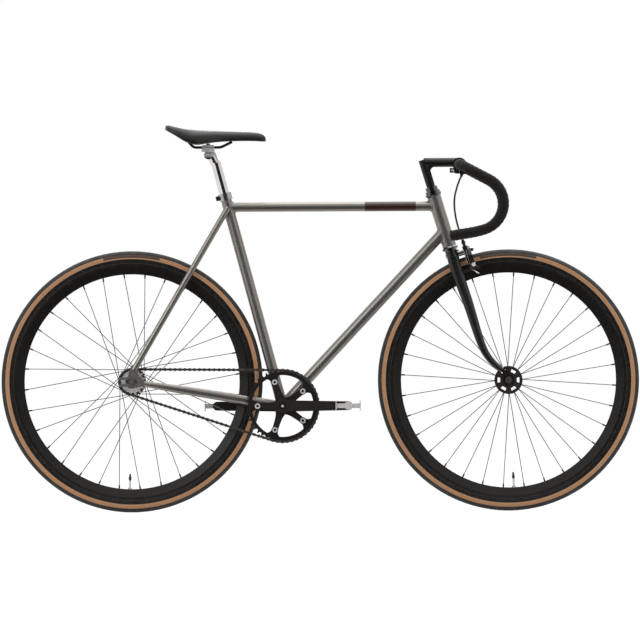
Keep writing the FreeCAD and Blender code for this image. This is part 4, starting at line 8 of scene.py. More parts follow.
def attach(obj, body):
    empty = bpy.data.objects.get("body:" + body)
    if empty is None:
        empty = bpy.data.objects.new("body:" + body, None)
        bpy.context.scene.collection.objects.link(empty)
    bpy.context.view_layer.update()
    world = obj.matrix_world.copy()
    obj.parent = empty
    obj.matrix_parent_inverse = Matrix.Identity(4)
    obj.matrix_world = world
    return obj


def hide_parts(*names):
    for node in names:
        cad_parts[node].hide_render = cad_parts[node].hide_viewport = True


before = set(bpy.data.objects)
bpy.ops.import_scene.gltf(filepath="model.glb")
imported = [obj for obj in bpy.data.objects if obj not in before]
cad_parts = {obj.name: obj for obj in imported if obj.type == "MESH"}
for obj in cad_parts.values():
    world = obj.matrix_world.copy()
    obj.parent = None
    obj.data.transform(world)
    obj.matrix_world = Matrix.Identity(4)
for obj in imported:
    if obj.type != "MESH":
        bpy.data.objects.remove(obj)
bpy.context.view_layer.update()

bl_info = {
    "name": "Fixed gear bike finish",
    "version": (1, 0, 0),
    "blender": (4, 5, 0),
    "location": "View3D > Sidebar > Bike",
    "description": "Dresses the jointed bike in paint, rubber, leather and metal, and sets up the studio",
    "category": "Object",
}

MILLIMETRES = 1000.0
TYRE_RADIUS = 0.339
FORK_RAKE = 0.043
FRONT_AXLE = Vector((0.48825, 0.0, TYRE_RADIUS))
REAR_AXLE = Vector((-0.48825, 0.0, TYRE_RADIUS))
BRACKET = Vector((-0.098164, 0.0, 0.2745))
HEAD_ANGLE = math.radians(73)
SEAT_ANGLE = math.radians(75)
STEER = Vector((-math.cos(HEAD_ANGLE), 0.0, math.sin(HEAD_ANGLE)))
AHEAD = Vector((math.sin(HEAD_ANGLE), 0.0, math.cos(HEAD_ANGLE)))
SEAT_LINE = Vector((-math.cos(SEAT_ANGLE), 0.0, math.sin(SEAT_ANGLE)))
STEER_FOOT = FRONT_AXLE - AHEAD * FORK_RAKE
FORWARD = Vector((1.0, 0.0, 0.0))
ACROSS = Vector((0.0, 1.0, 0.0))
UP = Vector((0.0, 0.0, 1.0))
WHITE = (1.0, 1.0, 1.0)
EVEN = (1.0, 1.0, 1.0)


def colour_choice(name, words, red, green, blue):
    """A colour that a user can change."""
    return FloatVectorProperty(name=name, description=words, subtype="COLOR", size=3, min=0.0, max=1.0,
                               default=(red, green, blue))


def length_choice(name, words, metres):
    """A length that a user can change."""
    return FloatProperty(name=name, description=words, default=metres, min=0.0, unit="LENGTH",
                         subtype="DISTANCE")


class BikeColours(bpy.types.PropertyGroup):
    """Colours of the bike's finishes."""

    frame_grey: colour_choice("Frame grey", "Satin metallic paint on the frame tubes", 0.225, 0.211, 0.194)
    band_maroon: colour_choice("Band maroon", "Plain band round the top tube", 0.034, 0.0085, 0.0066)
    fork_black: colour_choice("Fork black", "Gloss paint on the fork", 0.0060, 0.0052, 0.0045)
    alloy_black: colour_choice("Alloy black", "Black anodised alloy of rims, cranks, stem and hub",
                               0.0075, 0.0062, 0.0052)
    alloy_silver: colour_choice("Alloy silver", "Polished alloy of the post and rear hub", 0.62, 0.61, 0.595)
    pedal_silver: colour_choice("Pedal silver", "Bright alloy of the pedals and small fittings",
                                0.76, 0.75, 0.73)
    collar_grey: colour_choice("Collar grey", "Dull alloy of the seat collar", 0.36, 0.35, 0.335)
    steel: colour_choice("Steel", "Bright steel of nuts, bolts and wire", 0.55, 0.54, 0.52)
    chain_steel: colour_choice("Chain steel", "Oiled steel of the chain", 0.040, 0.036, 0.032)
    tread_black: colour_choice("Tread black", "Black rubber of the tread", 0.018, 0.0165, 0.015)
    sidewall_tan: colour_choice("Sidewall tan", "Bare casing of the tyre's sidewall", 0.47, 0.262, 0.142)
    tape_black: colour_choice("Tape black", "Cork tape on the bar", 0.0085, 0.0072, 0.0062)
    leather_black: colour_choice("Leather black", "Skin of the saddle", 0.0092, 0.0078, 0.0068)


class BikeSizes(bpy.types.PropertyGroup):
    """Sizes of the bike's dressed pieces."""

    band_start: length_choice("Band start", "Rear edge of the top tube's band, ahead of the middle", 0.118)
    band_end: length_choice("Band end", "Front edge of the top tube's band, ahead of the middle", 0.250)
    tan_inner: length_choice("Tan inner radius", "Where the tan sidewall leaves the rim", 0.3186)
    tan_outer: length_choice("Tan outer radius", "Where the tan sidewall meets the tread", 0.3290)
    track_line: length_choice("Brake track line", "Radius of the fine line under the brake track", 0.3075)
    tape_pitch: length_choice("Tape pitch", "Distance between the edges of the wound tape", 0.0125)
    tape_step: length_choice("Tape step", "Height of one edge of the wound tape", 0.0008)
    tape_radius: length_choice("Tape radius", "Radius of the wound bar", 0.0131)
    seam_radius: length_choice("Saddle seam", "Radius of the welt round the saddle's edge", 0.0013)
    bead_radius: length_choice("Weld bead", "Radius of the fillet where two tubes meet", 0.0026)


def colours():
    return bpy.context.scene.bike_colours


def sizes():
    return bpy.context.scene.bike_sizes


def lifted(colour, lift):
    """A colour made lighter or darker as a whole."""
    return tuple(part * lift for part in colour)


class Finish:
    """A material under construction: its shader and short names for the nodes that feed it."""

    NOISE_SPAN = (0.3, 0.7)

    def __init__(self, name, colour, rough, metal=0.0, **sockets):
        self.material = bpy.data.materials.new(name)
        self.material.use_nodes = True
        self.tree = self.material.node_tree
        self.tree.nodes.clear()
        self.shader = self.tree.nodes.new("ShaderNodeBsdfPrincipled")
        self.output = self.tree.nodes.new("ShaderNodeOutputMaterial")
        self.tree.links.new(self.shader.outputs["BSDF"], self.output.inputs["Surface"])
        self.colour = (*colour, 1.0)
        sockets.update(Base_Color=self.colour, Roughness=rough, Metallic=metal)
        for socket, value in sockets.items():
            self.shader.inputs[socket.replace("_", " ")].default_value = value
        self.place = self.tree.nodes.new("ShaderNodeTexCoord").outputs["Object"]
        self.height = None

    def node(self, kind, inputs=(), **settings):
        """Add a node; each input is a number, a colour or another node's output."""
        made = self.tree.nodes.new(kind)
        for setting, value in settings.items():
            setattr(made, setting, value)
        for socket, value in dict(inputs).items():
            if isinstance(value, bpy.types.NodeSocket):
                self.tree.links.new(value, made.inputs[socket])
            else:
                made.inputs[socket].default_value = value
        return made

    def feed(self, socket, value):
        """Let another node's output set one of the shader's inputs."""
        self.tree.links.new(value, self.shader.inputs[socket])

    def maths(self, operation, first, second=0.0):
        return self.node("ShaderNodeMath", {0: first, 1: second}, operation=operation).outputs[0]

    def times(self, first, *others):
        """The product of two or more values."""
        for other in others:
            first = self.maths("MULTIPLY", first, other)
        return first

    def span(self, first, second):
        """The distance that two distances at right angles make together."""
        return self.maths("SQRT", self.maths("ADD", self.times(first, first), self.times(second, second)))

    def ramp(self, value, low, high, to_low=0.0, to_high=1.0):
        """Straight change from one value to another, held past both ends."""
        made = self.node("ShaderNodeMapRange", {"Value": value, "From Min": low, "From Max": high,
                                                "To Min": to_low, "To Max": to_high})
        return made.outputs["Result"]

    def noise(self, scale, detail=4.0, stretch=EVEN):
        """Soft random grain in the bike's own space, stretched where asked."""
        mapped = self.node("ShaderNodeMapping", {"Vector": self.place, "Scale": stretch}).outputs[0]
        made = self.node("ShaderNodeTexNoise", {"Vector": mapped, "Scale": scale, "Detail": detail})
        return made.outputs["Fac"]

    def cells(self, scale, feature="F1"):
        """Small cells: the distance to the middle or the edge of each."""
        made = self.node("ShaderNodeTexVoronoi", {"Vector": self.place, "Scale": scale}, feature=feature)
        return made.outputs["Distance"]

    def axes(self, centre=(0.0, 0.0, 0.0)):
        """Distances along X, Y and Z from a point."""
        moved = self.node("ShaderNodeVectorMath", {0: self.place, 1: tuple(centre)}, operation="SUBTRACT")
        split = self.node("ShaderNodeSeparateXYZ", {0: moved.outputs[0]})
        return [split.outputs[axis] for axis in "XYZ"]

    def wheel_place(self, centre):
        """Distance from an axle and angle round it, measured from the front."""
        forward, _, up = self.axes(centre)
        return self.span(forward, up), self.maths("ARCTAN2", up, forward)

    def between(self, value, low, high, soft=0.0004):
        """1 between two limits and 0 outside, with a soft edge."""
        rise = self.ramp(value, low - soft, low + soft)
        fall = self.ramp(value, high - soft, high + soft, 1.0, 0.0)
        return self.times(rise, fall)

    def tint(self, amount, colour):
        """Lay another colour over what the shader has so far."""
        socket = self.shader.inputs["Base Color"]
        below = socket.links[0].from_socket if socket.is_linked else self.colour
        above = colour if isinstance(colour, bpy.types.NodeSocket) else (*colour, 1.0)
        mixed = self.node("ShaderNodeMix", {0: amount, 6: below, 7: above}, data_type="RGBA")
        self.feed("Base Color", mixed.outputs[2])

    def vary(self, scale, depth):
        """Darken and lighten the plain colour a little in soft patches, before anything is laid over it."""
        shade = self.ramp(self.noise(scale, 3.0), *self.NOISE_SPAN, 1.0 - depth, 1.0 + depth)
        mixed = self.node("ShaderNodeVectorMath", {0: self.colour[:3], "Scale": shade}, operation="SCALE")
        self.tint(1.0, mixed.outputs[0])

    def uneven(self, scale, low, high, detail=4.0):
        """Let the roughness wander between two values in soft patches."""
        self.feed("Roughness", self.ramp(self.noise(scale, detail), *self.NOISE_SPAN, low, high))

    def relief(self, height, depth, strength=1.0):
        """Bump from a height between 0 and 1, with its depth in metres."""
        made = self.node("ShaderNodeBump", {"Height": height, "Distance": depth, "Strength": strength})
        if self.height is not None:
            self.tree.links.new(self.height, made.inputs["Normal"])
        self.height = made.outputs["Normal"]
        self.feed("Normal", self.height)


def frame_paint(name, band=False, lift=1.0, metal=0.8):
    """Satin warm grey with a fine flake, and on the top tube a plain maroon band."""
    grey = lifted(colours().frame_grey, lift)
    made = Finish(name, grey, 0.32, metal, Coat_Weight=0.2, Coat_Roughness=0.15)
    made.vary(22.0, 0.02)
    flake = made.ramp(made.cells(5200.0), 0.15, 0.6)
    made.tint(made.times(flake, 0.04), lifted(grey, 1.6))
    if band:
        banded = made.between(made.axes()[0], sizes().band_start, sizes().band_end)
        made.tint(banded, colours().band_maroon)
        made.feed("Metallic", made.ramp(banded, 0.0, 1.0, metal, 0.0))
    made.uneven(90.0, 0.29, 0.35)
    made.relief(made.noise(420.0, 2.0), 0.000003)
    return made.material


def wear_marks(made, colour):
    """Fine rubbed patches along sharp edges, where a finish wears first."""
    edge_radius, amount = 0.0007, 0.6
    rounded = made.node("ShaderNodeBevel", {"Radius": edge_radius}, samples=4).outputs[0]
    flat = made.node("ShaderNodeNewGeometry").outputs["Normal"]
    agree = made.node("ShaderNodeVectorMath", {0: rounded, 1: flat}, operation="DOT_PRODUCT").outputs["Value"]
    edge = made.ramp(agree, 0.90, 0.99, 1.0, 0.0)
    patch = made.ramp(made.noise(160.0), 0.42, 0.62)
    made.tint(made.times(edge, patch, amount), colour)


def fork_paint():
    """Deep black under a clear coat."""
    made = Finish("fork_paint", colours().fork_black, 0.34, Specular_IOR_Level=0.4, Coat_Weight=0.3,
                  Coat_Roughness=0.14)
    made.vary(25.0, 0.08)
    made.uneven(110.0, 0.30, 0.40)
    made.relief(made.noise(380.0, 2.0), 0.00003)
    return made.material


def black_alloy(name, rough, stretch=EVEN, gloss=0.0, lift=1.0):
    """Black anodised alloy: a dark matt film over the metal's fine grain, with a gloss where asked."""
    made = Finish(name, lifted(colours().alloy_black, lift), rough, 0.05, Specular_IOR_Level=0.34,
                  Coat_Weight=gloss, Coat_Roughness=0.08, Coat_IOR=1.9)
    made.vary(30.0, 0.10)
    grain = made.noise(900.0, 3.0, stretch)
    made.feed("Roughness", made.ramp(grain, *made.NOISE_SPAN, rough - 0.06, rough + 0.08))
    made.relief(grain, 0.000025)
    wear_marks(made, (0.10, 0.095, 0.09))
    return made.material


def bright_alloy(name, rough, stretch=EVEN, colour=None, metal=1.0):
    """Polished alloy with fine drawn lines and a few dull patches."""
    made = Finish(name, colour or colours().alloy_silver, rough, metal)
    made.vary(45.0, 0.05)
    lines = made.noise(650.0, stretch=stretch)
    dull = made.ramp(made.noise(60.0), 0.35, 0.7, rough - 0.05, rough + 0.08)
    made.feed("Roughness", made.maths("ADD", dull, made.ramp(lines, 0.2, 0.8, -0.04, 0.04)))
    made.relief(lines, 0.000003)
    return made.material


def small_silver(name, rough, metal):
    """The bright alloy of small flat fittings, which take some of their brightness from plain colour."""
    return bright_alloy(name, rough, colour=tuple(colours().pedal_silver), metal=metal)


def polished_tube():
    """Mirror-like drawn alloy with hairline marks along it, and a satin head above a height."""
    satin_from, satin_to, along_tube = 0.918, 0.924, (1.0, 1.0, 0.06)
    made = Finish("post_silver", colours().alloy_silver, 0.1, 1.0)
    made.vary(45.0, 0.04)
    marks = made.ramp(made.noise(900.0, stretch=along_tube), 0.55, 0.8, 0.0, 0.06)
    head = made.ramp(made.axes()[2], satin_from, satin_to, 0.0, 0.42)
    dull = made.ramp(made.noise(50.0), 0.35, 0.7, 0.08, 0.14)
    made.feed("Roughness", made.maths("ADD", made.maths("ADD", dull, marks), head))
    return made.material


def bolt_silver():
    """Bright ring bolts with painted shade in their sockets, and a black crank cap with a bright screw in its
    middle.
    """
    bolt_circle, half_step = 0.065, math.radians(36)
    screw_radius, cap_radius = 0.0034, 0.0120
    made = Finish("ring_bolt_silver", colours().pedal_silver, 0.4, 0.4)
    made.vary(45.0, 0.05)
    radius, angle = made.wheel_place(BRACKET)
    limits = {0: made.maths("SUBTRACT", angle, half_step), 1: half_step, 2: -half_step}
    turn = made.node("ShaderNodeMath", limits, operation="WRAP").outputs[0]
    outward = made.maths("SUBTRACT", made.times(radius, made.maths("COSINE", turn)), bolt_circle)
    sideways = made.times(radius, made.maths("SINE", turn))
    # Painted shade: a dark disc where each bolt's socket is sunk.
    socket = made.ramp(made.span(outward, sideways), 0.0034, 0.0037, 1.0, 0.0)
    cap = made.between(radius, screw_radius, cap_radius, 0.0002)
    # Lays the sockets' painted shade and the cap's own black on together.
    made.tint(made.maths("MAXIMUM", socket, cap), (0.012, 0.011, 0.010))
    made.uneven(240.0, 0.34, 0.46)
    return made.material


def bright_steel(name, rough=0.26, lift=1.0):
    """Drawn steel wire and turned fastenings, a little grey from handling."""
    made = Finish(name, lifted(colours().steel, lift), rough, 1.0)
    made.vary(120.0, 0.10)
    tarnish = made.ramp(made.noise(300.0), 0.5, 0.75)
    made.tint(made.times(tarnish, 0.25), (0.30, 0.28, 0.26))
    made.uneven(240.0, rough - 0.06, rough + 0.10)
    made.relief(made.noise(1400.0, 2.0), 0.000003)
    return made.material


def chain_steel(name, lift=1.0):
    """Dark oiled plates, brighter where they rub."""
    made = Finish(name, lifted(colours().chain_steel, lift), 0.36, 0.5)
    made.vary(200.0, 0.2)
    rubbed = made.ramp(made.noise(520.0), 0.5, 0.7)
    made.tint(made.times(rubbed, 0.35), (0.20, 0.19, 0.175))
    made.uneven(330.0, 0.28, 0.46)
    made.relief(made.noise(1500.0, 3.0), 0.00002)
    wear_marks(made, (0.35, 0.34, 0.32))
    return made.material


def tyre_rubber(name, axle):
    """Black tread with a fine file pattern over a tan woven sidewall, with a plain dark patch at the top."""
    patch_from, patch_to, patch_foot = math.radians(77), math.radians(103), 0.3216
    thread_wave, file_wave = 7.0, 1.15
    made = Finish(name, colours().tread_black, 0.62, Specular_IOR_Level=0.35)
    radius, angle = made.wheel_place(axle)
    tan = made.between(radius, sizes().tan_inner, sizes().tan_outer)
    tread = made.maths("SUBTRACT", 1.0, tan)
    around = made.times(angle, TYRE_RADIUS * MILLIMETRES)
    outward = made.times(radius, MILLIMETRES)
    threads = [made.maths("SINE", made.times(made.maths(lay, around, outward), thread_wave))
               for lay in ("ADD", "SUBTRACT")]
    weave = made.ramp(made.maths("ADD", *threads), -2.0, 2.0)
    made.tint(tan, colours().sidewall_tan)
    made.tint(made.times(tan, made.ramp(weave, 0.25, 0.75, 0.0, 0.22)), (0.27, 0.13, 0.06))
    middle = (sizes().tan_inner + sizes().tan_outer) / 2
    ruddy = made.between(radius, middle - 0.0022, middle + 0.0030, 0.0016)
    made.tint(made.times(ruddy, 0.40), (0.42, 0.185, 0.08))
    made.tint(made.times(tan, made.ramp(made.noise(70.0), 0.45, 0.75, 0.0, 0.18)), (0.46, 0.27, 0.15))
    patch_round = made.between(angle, patch_from, patch_to, 0.004)
    patch_out = made.ramp(radius, patch_foot, patch_foot + 0.0006)
    made.tint(made.times(patch_round, patch_out, tan, 0.92), (0.045, 0.036, 0.030))
    file_cut = made.maths("ABSOLUTE", made.maths("SINE", made.times(around, file_wave)))
    made.relief(made.times(made.ramp(file_cut, 0.0, 0.35), tread), 0.00022, 0.7)
    made.relief(made.times(weave, tan), 0.00010, 0.8)
    dust = made.ramp(made.noise(45.0, 5.0), 0.45, 0.75, 0.0, 0.35)
    made.tint(made.times(dust, tread), (0.075, 0.070, 0.063))
    made.uneven(160.0, 0.52, 0.74)
    return made.material


def rim_alloy(name, axle):
    """Black rim with a matt brake track above a fine turned line, and machining rings."""
    foot, half_line, ring_wave = sizes().track_line, 0.0005, 9000.0
    made = Finish(name, colours().alloy_black, 0.36, 0.05, Specular_IOR_Level=0.34)
    radius = made.wheel_place(axle)[0]
    made.vary(30.0, 0.10)
    line = made.between(radius, foot - half_line, foot + half_line, 0.0002)
    made.tint(made.times(line, 0.55), (0.060, 0.056, 0.052))
    track = made.ramp(radius, foot, foot + 0.0006)
    rings = made.maths("SINE", made.times(radius, ring_wave))
    rubbed = made.ramp(made.noise(110.0), 0.4, 0.75, 0.0, 0.35)
    made.tint(made.times(track, rubbed), (0.050, 0.047, 0.044))
    made.relief(made.times(made.ramp(rings, -1.0, 1.0), track), 0.00002, 0.6)
    made.relief(line, 0.0003, 0.5)
    made.uneven(140.0, 0.30, 0.46)
    return made.material


def valve_tube(name, axle):
    """Black rubber tube inside the tyre and a bright threaded valve stem."""
    rubber_from, thread_pitch = 0.3125, 0.0008
    made = Finish(name, colours().alloy_silver, 0.28, 1.0)
    radius = made.wheel_place(axle)[0]
    rubber = made.ramp(radius, rubber_from, rubber_from + 0.0005)
    made.tint(rubber, (0.020, 0.019, 0.018))
    made.feed("Metallic", made.maths("SUBTRACT", 1.0, rubber))
    thread = made.maths("SINE", made.times(radius, 2 * math.pi / thread_pitch))
    made.relief(made.ramp(thread, -1.0, 1.0), 0.0002, 0.7)
    made.uneven(400.0, 0.22, 0.40, 3.0)
    return made.material


def black_rubber(name, rough, colour=(0.022, 0.020, 0.019)):
    """Moulded black rubber or plastic with a fine pebble."""
    made = Finish(name, colour, rough, Specular_IOR_Level=0.4)
    made.vary(90.0, 0.15)
    made.relief(made.cells(1600.0, "SMOOTH_F1"), 0.00006, 0.6)
    made.uneven(260.0, rough - 0.08, rough + 0.08)
    return made.material


def cork_tape():
    """Matt cork tape: small pits, pale flecks and a soft sheen."""
    made = Finish("cork_tape", colours().tape_black, 0.78, Specular_IOR_Level=0.2, Sheen_Weight=0.05,
                  Sheen_Roughness=0.5)
    made.vary(60.0, 0.2)
    flecks = made.ramp(made.cells(520.0), 0.0, 0.16, 1.0, 0.0)
    made.tint(made.times(flecks, 0.45), (0.050, 0.046, 0.042))
    made.relief(made.cells(760.0, "SMOOTH_F1"), 0.00022, 0.7)
    made.relief(made.noise(2400.0, 3.0), 0.00005, 0.6)
    made.uneven(300.0, 0.68, 0.86)
    return made.material


def saddle_leather():
    """Grained black skin over foam, its polish varying a little in soft patches."""
    made = Finish("saddle_leather", colours().leather_black, 0.42, Specular_IOR_Level=0.36)
    made.vary(35.0, 0.12)
    grain = made.ramp(made.cells(620.0, "DISTANCE_TO_EDGE"), 0.0, 0.18)
    made.relief(grain, 0.00010, 0.55)
    made.relief(made.noise(1500.0, 3.0), 0.00003, 0.5)
    # Painted shade: the grain's creases are darkened a little.
    made.tint(made.ramp(grain, 0.0, 0.5, 0.22, 0.0), lifted(colours().leather_black, 0.45))
    made.feed("Roughness", made.ramp(made.noise(26.0), 0.35, 0.7, 0.36, 0.50))
    return made.material


def dress(material, *names):
    """Give whole nodes a finish, in place of the plain one that they were packed with."""
    for name in names:
        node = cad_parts[name]
        for place in node.material_slots:
            place.material = material
        if not node.material_slots:
            raise RuntimeError(f"{name} has no place for a finish")


def stand(name, data):
    """Put a new object in the scene."""
    made = bpy.data.objects.new(name, data)
    bpy.context.scene.collection.objects.link(made)
    return made


def new_piece(name, points, faces, material, body):
    """Make a smooth mesh piece that rides on a body."""
    mesh = bpy.data.meshes.new(name)
    mesh.from_pydata([tuple(point) for point in points], [], faces)
    mesh.validate()
    mesh.update()
    mesh.polygons.foreach_set("use_smooth", [True] * len(mesh.polygons))
    mesh.materials.append(material)
    piece = stand(name, mesh)
    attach(piece, body)
    return piece


def rows_to_faces(rows, count, closed=True):
    """Quads between rows of points that all have the same count."""
    faces = []
    for row in range(rows - 1):
        low, high = row * count, (row + 1) * count
        for step in range(count if closed else count - 1):
            after = (step + 1) % count
            faces.append((low + step, low + after, high + after, high + step))
    return faces


def capped_faces(rows, count):
    """Quads between closed rows of points, and a face across each end."""
    first, last = tuple(reversed(range(count))), tuple(range((rows - 1) * count, rows * count))
    return [*rows_to_faces(rows, count), first, last]


def loop_faces(rows, count):
    """Quads between closed rows of points that run round in a loop."""
    faces = []
    for row in range(rows):
        low, high = row * count, (row + 1) % rows * count
        for step in range(count):
            after = (step + 1) % count
            faces.append((low + step, high + step, high + after, low + after))
    return faces


def square_arms(heading, up):
    """Two arms square to a heading and to each other, the second one nearest to up."""
    right = heading.cross(up).normalized()
    return right, right.cross(heading)


def circle(first, second, count):
    """The angle and direction of each step round a circle, from the first arm towards the second."""
    for step in range(count):
        angle = 2 * math.pi * step / count
        yield angle, first * math.cos(angle) + second * math.sin(angle)


class BarLine:
    """The bar's centre line on one side, walked outward from the stem."""

    CENTRE = Vector((0.3638, 0.0, 0.8988))
    HALF_SPREAD = 0.200
    CORNER = 0.052
    RAMP_DROP = math.radians(27.8)
    RAMP_RUN = 0.034
    HOOK = 0.070
    HOOK_TURN = math.radians(135)
    EASE = 0.250
    EASE_TURN = math.radians(8)
    TAIL_RUN = 0.055
    TAPE_FROM = 0.104
    STEP = 0.0009

    def __init__(self, side):
        self.place = self.CENTRE + Vector((0.0, side * self.TAPE_FROM, 0.0))
        self.heading = Vector((0.0, side, 0.0))
        self.up = UP.copy()
        self.stations = []
        ramp = Vector((math.cos(self.RAMP_DROP), 0.0, -math.sin(self.RAMP_DROP)))
        self.run(self.HALF_SPREAD - self.CORNER - self.TAPE_FROM)
        self.bend(self.CORNER, math.pi / 2, self.heading.cross(ramp))
        self.run(self.RAMP_RUN)
        self.bend(self.HOOK, self.HOOK_TURN, ACROSS)
        self.bend(self.EASE, self.EASE_TURN, ACROSS)
        self.run(self.TAIL_RUN)
        self.note()

    def note(self):
        self.stations.append((self.place.copy(), self.heading.copy(), self.up.copy()))

    def run(self, length):
        steps = max(1, round(length / self.STEP))
        for _ in range(steps):
            self.note()
            self.place = self.place + self.heading * (length / steps)

    def bend(self, radius, angle, axis):
        steps = max(1, round(radius * angle / self.STEP))
        middle = self.place + axis.normalized().cross(self.heading) * radius
        turn = Quaternion(axis, angle / steps)
        for _ in range(steps):
            self.note()
            arm = self.place - middle
            arm.rotate(turn)
            self.place = middle + arm
            self.heading.rotate(turn)
            self.up.rotate(turn)


def wound_tape(side):
    """Tape wound round the bar with a small step at each turn, and turned in at both ends."""
    around, tuck_rows, tuck_depth, rising = 40, 6, 0.0010, 0.86
    line = BarLine(side).stations
    points = []
    travelled = 0.0
    before = line[0][0]
    for index, (place, heading, up) in enumerate(line):
        travelled += (place - before).length
        before = place
        from_end = min(index, len(line) - 1 - index)
        tuck = tuck_depth * max(0.0, 1.0 - from_end / tuck_rows) ** 2
        for angle, spoke in circle(*square_arms(heading, up), around):
            part = (travelled / sizes().tape_pitch - side * angle / (2 * math.pi)) % 1.0
            rise = part / rising if part < rising else (1.0 - part) / (1.0 - rising)
            radius = sizes().tape_radius + sizes().tape_step * rise - tuck
            points.append(place + spoke * radius)
    return points, capped_faces(len(line), around), line[-1]


def turned_piece(name, body, slot, finish, profile, place, heading, up, around=48):
    """A turned piece: (distance along, radius) pairs swept round a heading."""
    arms = square_arms(heading, up)
    least_radius = 0.00001
    points = [place + heading * along + spoke * max(radius, least_radius)
              for along, radius in profile for _, spoke in circle(*arms, around)]
    new_piece(name, points, capped_faces(len(profile), around), finish, body)


class SaddleShape:
    """The saddle's skin: stations in millimetres (forward, top, edge, half width) on a smooth curve."""

    STATIONS = (
        (-398.6, 999.4, 993.5, 44.0), (-393.0, 1001.8, 990.0, 60.0), (-376.0, 999.2, 980.5, 71.0),
        (-346.0, 994.4, 962.5, 75.0), (-320.0, 991.7, 954.6, 71.0), (-286.0, 989.8, 958.8, 55.0),
        (-254.0, 988.3, 962.0, 38.0), (-203.0, 986.3, 963.6, 24.0), (-165.0, 984.2, 963.2, 19.5),
        (-147.0, 979.6, 962.0, 16.0), (-138.5, 972.0, 962.4, 10.0),
    )
    BETWEEN = 8
    SIDE_POINTS = 10
    SIDE = (0.96, 0.62)
    SHOULDER = (0.62, 0.06)
    FOAM = 0.0068
    INNER_RISE = 0.0006
    LEAST_HALF = 0.3
    LEAST_HEIGHT = 0.25

    def curve(self, index, part):
        """A smooth value of all four measures between two stations."""
        last = len(self.STATIONS) - 1
        four = [self.STATIONS[min(max(index + shift, 0), last)] for shift in (-1, 0, 1, 2)]
        spans = [after[0] - before[0] for before, after in zip(four, four[1:])]
        measures = []
        for column in range(4):
            low, high = four[1][column], four[2][column]
            first = (four[2][column] - four[0][column]) / (spans[0] + spans[1]) * spans[1]
            second = (four[3][column] - four[1][column]) / (spans[1] + spans[2]) * spans[1]
            square, cube = part * part, part * part * part
            measures.append(low * (2 * cube - 3 * square + 1) + first * (cube - 2 * square + part)
                            + high * (3 * square - 2 * cube) + second * (cube - square))
        return [value / MILLIMETRES for value in measures]

    def stations(self):
        """Measures in metres of every row, from tail to nose."""
        rows = [self.curve(index, step / self.BETWEEN)
                for index in range(len(self.STATIONS) - 1) for step in range(self.BETWEEN)]
        return rows + [[value / MILLIMETRES for value in self.STATIONS[-1]]]

    @staticmethod
    def arc(start, through, end, count):
        """Points on the circle through three points."""
        (ax, ay), (bx, by), (cx, cy) = start, through, end
        double = 2 * (ax * (by - cy) + bx * (cy - ay) + cx * (ay - by))
        one, two, three = ax * ax + ay * ay, bx * bx + by * by, cx * cx + cy * cy
        middle_x = (one * (by - cy) + two * (cy - ay) + three * (ay - by)) / double
        middle_y = (one * (cx - bx) + two * (ax - cx) + three * (bx - ax)) / double
        radius = math.hypot(ax - middle_x, ay - middle_y)
        first = math.atan2(ay - middle_y, ax - middle_x)
        middle = math.atan2(by - middle_y, bx - middle_x)
        last = math.atan2(cy - middle_y, cx - middle_x)
        turn = 2 * math.pi
        if (middle - first) % turn < (last - first) % turn:
            sweep = (last - first) % turn
        else:
            sweep = -((first - last) % turn)
        return [(middle_x + radius * math.cos(first + sweep * step / count),
                 middle_y + radius * math.sin(first + sweep * step / count)) for step in range(count)]

    def section(self, top, edge, half):
        """Half-width and height pairs from the right edge over the crown to the left edge."""
        height = top - edge
        side = (self.SIDE[0] * half, edge + self.SIDE[1] * height)
        shoulder = (self.SHOULDER[0] * half, top - self.SHOULDER[1] * height)
        far_shoulder = (-shoulder[0], shoulder[1])
        right_side = self.arc((half, edge), side, shoulder, self.SIDE_POINTS)
        crown = self.arc(shoulder, (0.0, top), far_shoulder, 2 * self.SIDE_POINTS)
        left_side = [(-across, up) for across, up in reversed(right_side[1:])]
        return [*right_side, *crown, far_shoulder, *left_side, (-half, edge)]

    def skin(self):
        """Rows of a closed skin: the outer face, and the foam's inner face back to the same edge."""
        rows = []
        for forward, top, edge, half in self.stations():
            outer = self.section(top, edge, half)
            inner_half = max(half - self.FOAM, self.LEAST_HALF * half)
            inner_top = max(top - self.FOAM, edge + self.LEAST_HEIGHT * (top - edge))
            inner = self.section(inner_top, edge + self.INNER_RISE, inner_half)
            rows.append([Vector((forward, -across, up)) for across, up in [*outer, *reversed(inner)]])
        return rows


def meeting(start, heading, centre, axis, radius):
    """How far a line runs before it touches a round tube."""
    flat_start = start - centre - axis * (start - centre).dot(axis)
    flat_heading = heading - axis * heading.dot(axis)
    square = flat_heading.length_squared
    half = flat_start.dot(flat_heading)
    under = half * half - square * (flat_start.length_squared - radius * radius)
    return (-half - math.sqrt(max(under, 0.0))) / square


def weld_bead(name, centre, heading, up, radius, other_tube, material):
    """A small rippled fillet round a tube, along the line where it runs into another tube."""
    around, ring, ripples, ripple_height = 72, 10, 24, 0.06
    right, true_up = square_arms(heading, up)
    points = []
    for angle, spoke in circle(right, true_up.normalized(), around):
        start = centre + spoke * radius
        place = start + heading * meeting(start, heading, *other_tube)
        ripple = 1.0 + ripple_height * math.sin(angle * ripples)
        for _, arm in circle(spoke, heading, ring):
            points.append(place + arm * sizes().bead_radius * ripple)
    new_piece(name, points, loop_faces(around, ring), material, "frame")


